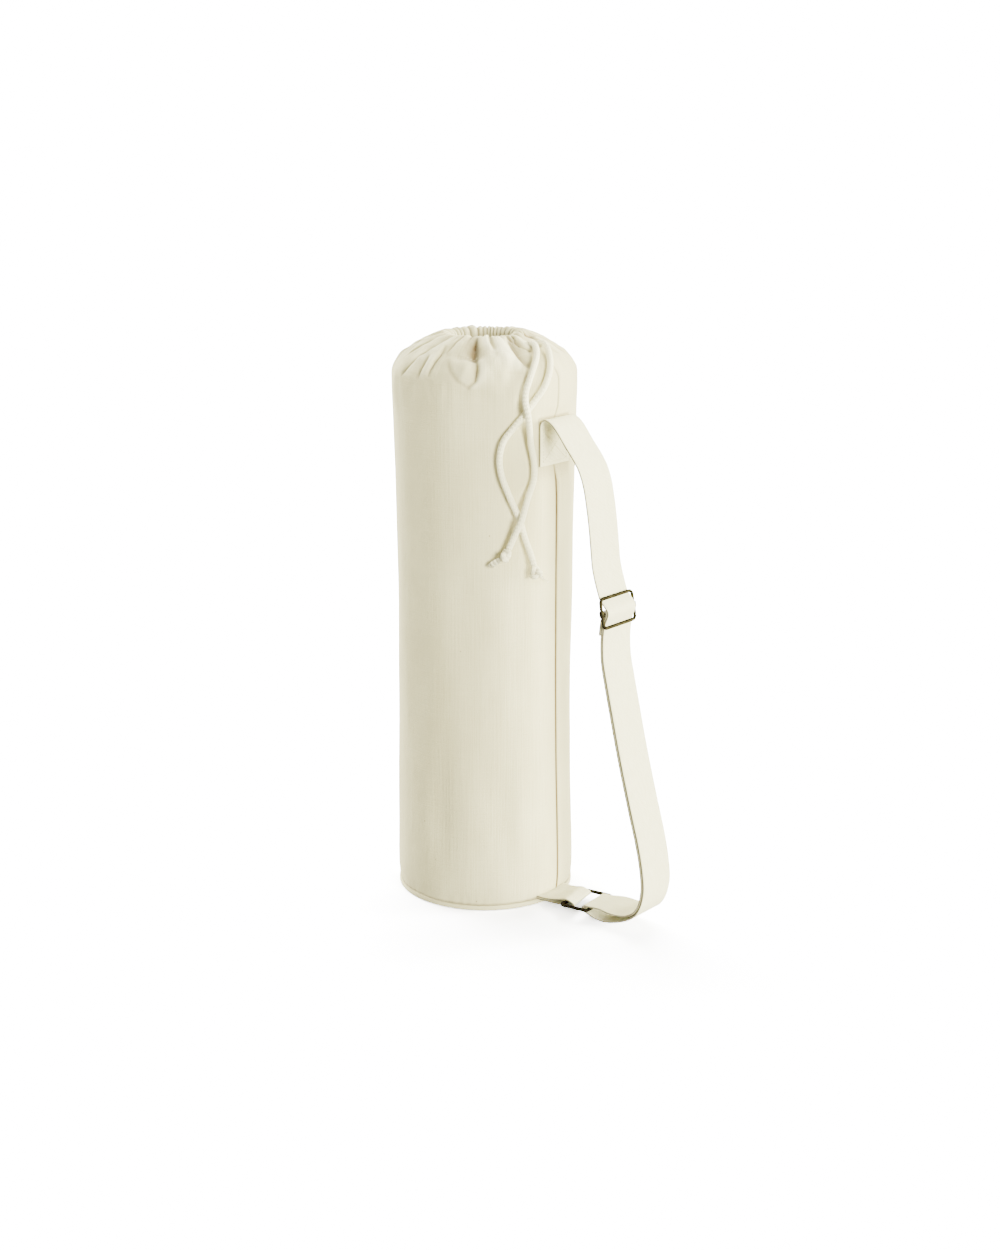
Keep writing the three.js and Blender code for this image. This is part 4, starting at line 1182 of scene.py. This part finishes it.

# %% [markdown]
# Canvas: warm off-white cotton. The colour drifts a little from place to place, threads of
# uneven thickness leave fine upright streaks, and here and there a dark speck of seed husk is
# woven in. In the pleats, between the gathers, along the seam, in the slit, round the patch and
# above the binding the cloth is painted browner as shade, and ridges are painted paler as
# highlights. Both follow the attribute.


# %% The canvas
def canvas_material():
    recipe = Recipe("natural_canvas", 0.92)
    uv = recipe.coordinate("UV")
    place = recipe.coordinate("Object")
    drift = recipe.between(recipe.noise(place, 9.0), 0.3, 0.7)
    streak = recipe.between(recipe.noise(recipe.scaled(uv, (420, 10, 1)), 1.0, 4.0, 0.7), 0.3, 0.7)
    cross_streak = recipe.between(recipe.noise(recipe.scaled(uv, (30, 700, 1)), 1.0, 2.0), 0.25, 0.75)
    thread = recipe.plus(recipe.times(streak, 0.65), recipe.times(cross_streak, 0.35))
    color = recipe.mix(drift, (0.62, 0.582, 0.40), (0.725, 0.692, 0.49))
    cloudy = recipe.between(recipe.noise(recipe.scaled(place, (34, 34, 13)), 1.0, 3.0, 0.55), 0.42, 0.7)
    color = recipe.mix(recipe.times(cloudy, 0.3), color, (0.50, 0.455, 0.30))
    thin = recipe.calc("SUBTRACT", 1.0, thread)
    color = recipe.mix(recipe.times(thin, 0.5), color, (0.56, 0.51, 0.345))
    husks = recipe.add("ShaderNodeTexVoronoi", None, Vector=recipe.scaled(uv, (62, 48, 1)), Scale=1.0)
    chosen = recipe.add("ShaderNodeSeparateColor", None, Color=husks.outputs["Color"])
    speck = recipe.between(husks.outputs["Distance"], 0.055, 0.03)
    speck = recipe.times(speck, recipe.between(chosen.outputs[0], 0.74, 0.9))
    color = recipe.mix(recipe.times(speck, 0.7), color, (0.2, 0.13, 0.07))
    # Painted light from the attribute: a painted highlight on ridges, and painted shade in folds, gathers,
    # seam, slit, round the patch and above the binding.
    painted_shading = recipe.attribute("painted_shading")
    ridge_highlight = recipe.between(painted_shading, 0.0, -1.0)
    color = recipe.mix(recipe.times(ridge_highlight, 0.75), color, (0.92, 0.90, 0.74))
    painted_shading = recipe.calc("MAXIMUM", painted_shading, 0.0)
    color = recipe.mix(recipe.times(painted_shading, 0.72), color, (0.13, 0.082, 0.035))
    weave = recipe.times(woven(recipe, uv, 1.3 * MM, 1.5 * MM), 0.35)
    height = recipe.plus(weave, recipe.times(thread, 1.2))
    recipe.set(Sheen_Weight=0.45, Sheen_Roughness=0.3, Sheen_Tint=(1.0, 0.97, 0.86, 1.0))
    recipe.set(Specular_IOR_Level=0.2)
    return recipe.finish(color, recipe.relief(height, 0.3 * MM))


canvas = canvas_material()
print("canvas nodes:", len(canvas.node_tree.nodes))

# %% [markdown]
# Webbing: the same cotton, bleached a little more, woven thick. Seen close, it shows fine ribs
# straight across the tape, and both edges are painted with a dark line of shade.


# %% The webbing
def webbing_material():
    recipe = Recipe("cotton_webbing", 0.88)
    uv = recipe.coordinate("UV")
    parts = recipe.add("ShaderNodeSeparateXYZ", None, Vector=uv)
    wander = recipe.noise(recipe.scaled(uv, (120, 260, 1)), 1.0)
    length = recipe.plus(parts.outputs[1], recipe.times(wander, 0.5 * MM))
    rib = recipe.wave(length, 1.45 * MM)
    thread = recipe.wave(parts.outputs[0], 1.0 * MM)
    height = recipe.plus(rib, recipe.times(thread, 0.45))
    patchy = recipe.between(recipe.noise(recipe.scaled(uv, (300, 90, 1)), 1.0, 3.0), 0.3, 0.7)
    color = recipe.mix(patchy, (0.84, 0.81, 0.60), (0.91, 0.885, 0.69))
    dark = recipe.times(recipe.between(rib, -0.2, -1.0), 0.28)
    color = recipe.mix(dark, color, (0.60, 0.55, 0.38))
    # Painted shade: a dark line along both edges of the tape.
    edge = recipe.between(recipe.calc("ABSOLUTE", parts.outputs[0]), 24.2 * MM, 24.9 * MM)
    color = recipe.mix(recipe.times(edge, 0.8), color, (0.10, 0.078, 0.045))
    recipe.set(Sheen_Weight=0.1, Specular_IOR_Level=0.2)
    return recipe.finish(color, recipe.relief(height, 0.22 * MM))


webbing = webbing_material()
print("webbing nodes:", len(webbing.node_tree.nodes))

# %% [markdown]
# Cord: eight plaits run one way round and eight the other, over and under. Two slanted waves on
# the tube's UV map give both directions, and a chequer of the same size says which lies on top.


# %% The cord and the thread
PLAITS, PLAIT_LENGTH = 8, 4.2 * MM


def cord_material():
    recipe = Recipe("braided_cotton", 0.9)
    uv = recipe.coordinate("UV")
    parts = recipe.add("ShaderNodeSeparateXYZ", None, Vector=uv)
    around = recipe.times(parts.outputs[0], PLAITS / (math.pi * CORD))
    along = recipe.times(parts.outputs[1], 1 / PLAIT_LENGTH)
    first = recipe.plus(around, along)
    second = recipe.calc("SUBTRACT", around, along)
    one = recipe.calc("ABSOLUTE", recipe.wave(first, 2.0))
    two = recipe.calc("ABSOLUTE", recipe.wave(second, 2.0))
    cells = recipe.plus(recipe.calc("FLOOR", first), recipe.calc("FLOOR", second))
    over_under = recipe.calc("MODULO", recipe.calc("ABSOLUTE", cells), 2.0)
    others = recipe.calc("SUBTRACT", 1.0, over_under)
    height = recipe.plus(recipe.times(one, over_under), recipe.times(two, others))
    color = recipe.mix(recipe.between(height, 0.05, 0.55), (0.66, 0.60, 0.43), (0.95, 0.93, 0.75))
    soft = recipe.noise(recipe.scaled(uv, (700, 300, 1)), 1.0, 3.0)
    color = recipe.mix(recipe.times(soft, 0.25), color, (0.80, 0.75, 0.57))
    # Painted shade near the knot's heart, from the attribute.
    painted_shading = recipe.attribute("painted_shading")
    color = recipe.mix(recipe.times(painted_shading, 0.75), color, (0.25, 0.18, 0.09))
    recipe.set(Sheen_Weight=0.2, Specular_IOR_Level=0.2)
    return recipe.finish(color, recipe.relief(height, 0.5 * MM))


def thread_material():
    recipe = Recipe("cotton_thread", 0.75)
    twist = recipe.noise(recipe.scaled(recipe.coordinate("Object"), (900, 900, 900)), 1.0, 2.0)
    recipe.set(Sheen_Weight=0.2)
    color = recipe.mix(twist, (0.62, 0.565, 0.40), (0.80, 0.765, 0.59))
    return recipe.finish(color, recipe.relief(twist, 0.1 * MM))


braid = cord_material()
thread = thread_material()
print("cord nodes:", len(braid.node_tree.nodes))

# %% [markdown]
# Antique brass is brass that was darkened and then rubbed, so the metal is nearly black-brown
# and shows a warmer tone in patches. Dull spots keep it from looking new, and a dark specular
# tint keeps its highlights dim.


# %% The antique brass
def brass_material():
    recipe = Recipe("antique_brass", 0.42, 1.0)
    place = recipe.coordinate("Object")
    patches = recipe.between(recipe.noise(place, 130.0, 4.0, 0.6), 0.35, 0.7)
    color = recipe.mix(patches, (0.010, 0.0088, 0.0052), (0.036, 0.0315, 0.018))
    dull = recipe.between(recipe.noise(place, 420.0, 3.0), 0.2, 0.8)
    rough = recipe.plus(0.44, recipe.times(dull, 0.22))
    recipe.set(Roughness=rough, Specular_Tint=(0.19, 0.17, 0.12, 1.0))
    return recipe.finish(color, recipe.relief(dull, 0.05 * MM, 0.6))


brass = brass_material()
print("brass nodes:", len(brass.node_tree.nodes))

# %% [markdown]
# Now every piece gets its finish, rides on the part's one body, and takes the place of the plain
# CAD solid that it stands for. The drawcord's free ends are as long as their routes, from just
# inside the casing to the knot.


# %% Finishes, bodies and the solids they replace
def dress(piece, surface, slot, *nodes):
    piece.data.materials.clear()
    piece.data.materials.append(surface)
    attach(piece, "root")
    if nodes:
        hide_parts(*nodes)


dress(canvas_body, canvas, "canvas", "body_panel")
dress(drawcord_casing, canvas, "canvas", "mouth_casing")
dress(base_round, canvas, "canvas", "base_disc")
dress(binding, canvas, "canvas", "base_binding")
dress(cloth_stitches, thread, "canvas")
dress(webbing_strap, webbing, "webbing", "strap")
dress(webbing_tab, webbing, "webbing", "base_tab")
dress(webbing_stitches, thread, "webbing")
dress(slider_wire, brass, "antique_brass", "slider_frame")
dress(slider_bar, brass, "antique_brass", "slider_bar")
dress(ring_wire, brass, "antique_brass", "base_ring")
dress(held_cord, braid, "cotton_cord", "drawcord_ring")
dress(cord_a, braid, "cotton_cord", "drawcord_a")
dress(cord_b, braid, "cotton_cord", "drawcord_b")
dress(knot_a, braid, "cotton_cord", "cord_knot_a")
dress(knot_b, braid, "cotton_cord", "cord_knot_b")

# %% [markdown]
# The studio is a wide white floor under a white sky, lit by four soft suns: two low ones from the
# strap's side, one low behind the bag and a high one from the back. The wall away from the strap
# falls into a gentle shade, as it does in the photograph. A Light Path switch makes floor and sky
# white where the camera sees them and dimmer where they light the bag.


# %% The floor and the light
SEEN_WHITE, SKY_LIGHT = 16.5, 0.5
FLOOR_TONE, FLOOR_SEEN, FLOOR_GLOW = 0.28, (3.5, 3.6, 5.0), 0.5
WARM = (1.0, 0.972, 0.70)


def camera_switch(tree, lighting, seen):
    ray = tree.nodes.new("ShaderNodeLightPath").outputs["Is Camera Ray"]
    tone = tree.nodes.new("ShaderNodeMix")
    tone.data_type = "RGBA"
    tone.inputs[6].default_value = (*lighting, 1.0)
    tone.inputs[7].default_value = (*seen, 1.0)
    tree.links.new(ray, tone.inputs[0])
    return ray, tone.outputs[2]


bpy.ops.object.select_all(action="DESELECT")
bpy.ops.mesh.primitive_plane_add(size=60, location=(0, 0, -0.05 * MM))
floor = bpy.context.object
floor.name = "studio_floor"
floor_surface = bpy.data.materials.new("pale_floor")
floor_surface.use_nodes = True
floor_nodes, floor_links = floor_surface.node_tree.nodes, floor_surface.node_tree.links
floor_nodes.remove(floor_nodes["Principled BSDF"])
ray, tone = camera_switch(floor_surface.node_tree, (FLOOR_TONE,) * 3, FLOOR_SEEN)
kinds = ("ShaderNodeBsdfDiffuse", "ShaderNodeEmission", "ShaderNodeAddShader", "ShaderNodeMath")
matt, glow, both, strength = (floor_nodes.new(kind) for kind in kinds)
strength.operation = "MULTIPLY"
strength.inputs[1].default_value = FLOOR_GLOW
floor_links.new(ray, strength.inputs[0])
floor_links.new(tone, matt.inputs["Color"])
floor_links.new(strength.outputs[0], glow.inputs["Strength"])
floor_links.new(matt.outputs[0], both.inputs[0])
floor_links.new(glow.outputs[0], both.inputs[1])
floor_links.new(both.outputs[0], floor_nodes["Material Output"].inputs["Surface"])
floor.data.materials.append(floor_surface)

world = bpy.data.worlds.new("studio_sky")
bpy.context.scene.world = world
world.use_nodes = True
sky_warmth = [SKY_LIGHT * part for part in WARM]
_, sky_tone = camera_switch(world.node_tree, sky_warmth, (SEEN_WHITE,) * 3)
world.node_tree.links.new(sky_tone, world.node_tree.nodes["Background"].inputs["Color"])


def soft_light(name, azimuth, height, softness, strength):
    light = bpy.data.lights.new(name, "SUN")
    light.angle = math.radians(softness)
    light.energy = strength
    light.color = WARM
    lamp = bpy.data.objects.new(name, light)
    bpy.context.scene.collection.objects.link(lamp)
    turn, lift = math.radians(azimuth), math.radians(height)
    way = Vector((math.cos(lift) * math.cos(turn), math.cos(lift) * math.sin(turn), math.sin(lift)))
    lamp.location = way * 3
    lamp.rotation_euler = (-way).to_track_quat("-Z", "Y").to_euler()


soft_light("key_light", -16, 9, 24, 12.5)
soft_light("side_light", 46, 9, 24, 18.0)
soft_light("back_light", 176, 12, 34, 21.0)
soft_light("top_light", 125, 52, 50, 9.0)
print("lights placed")
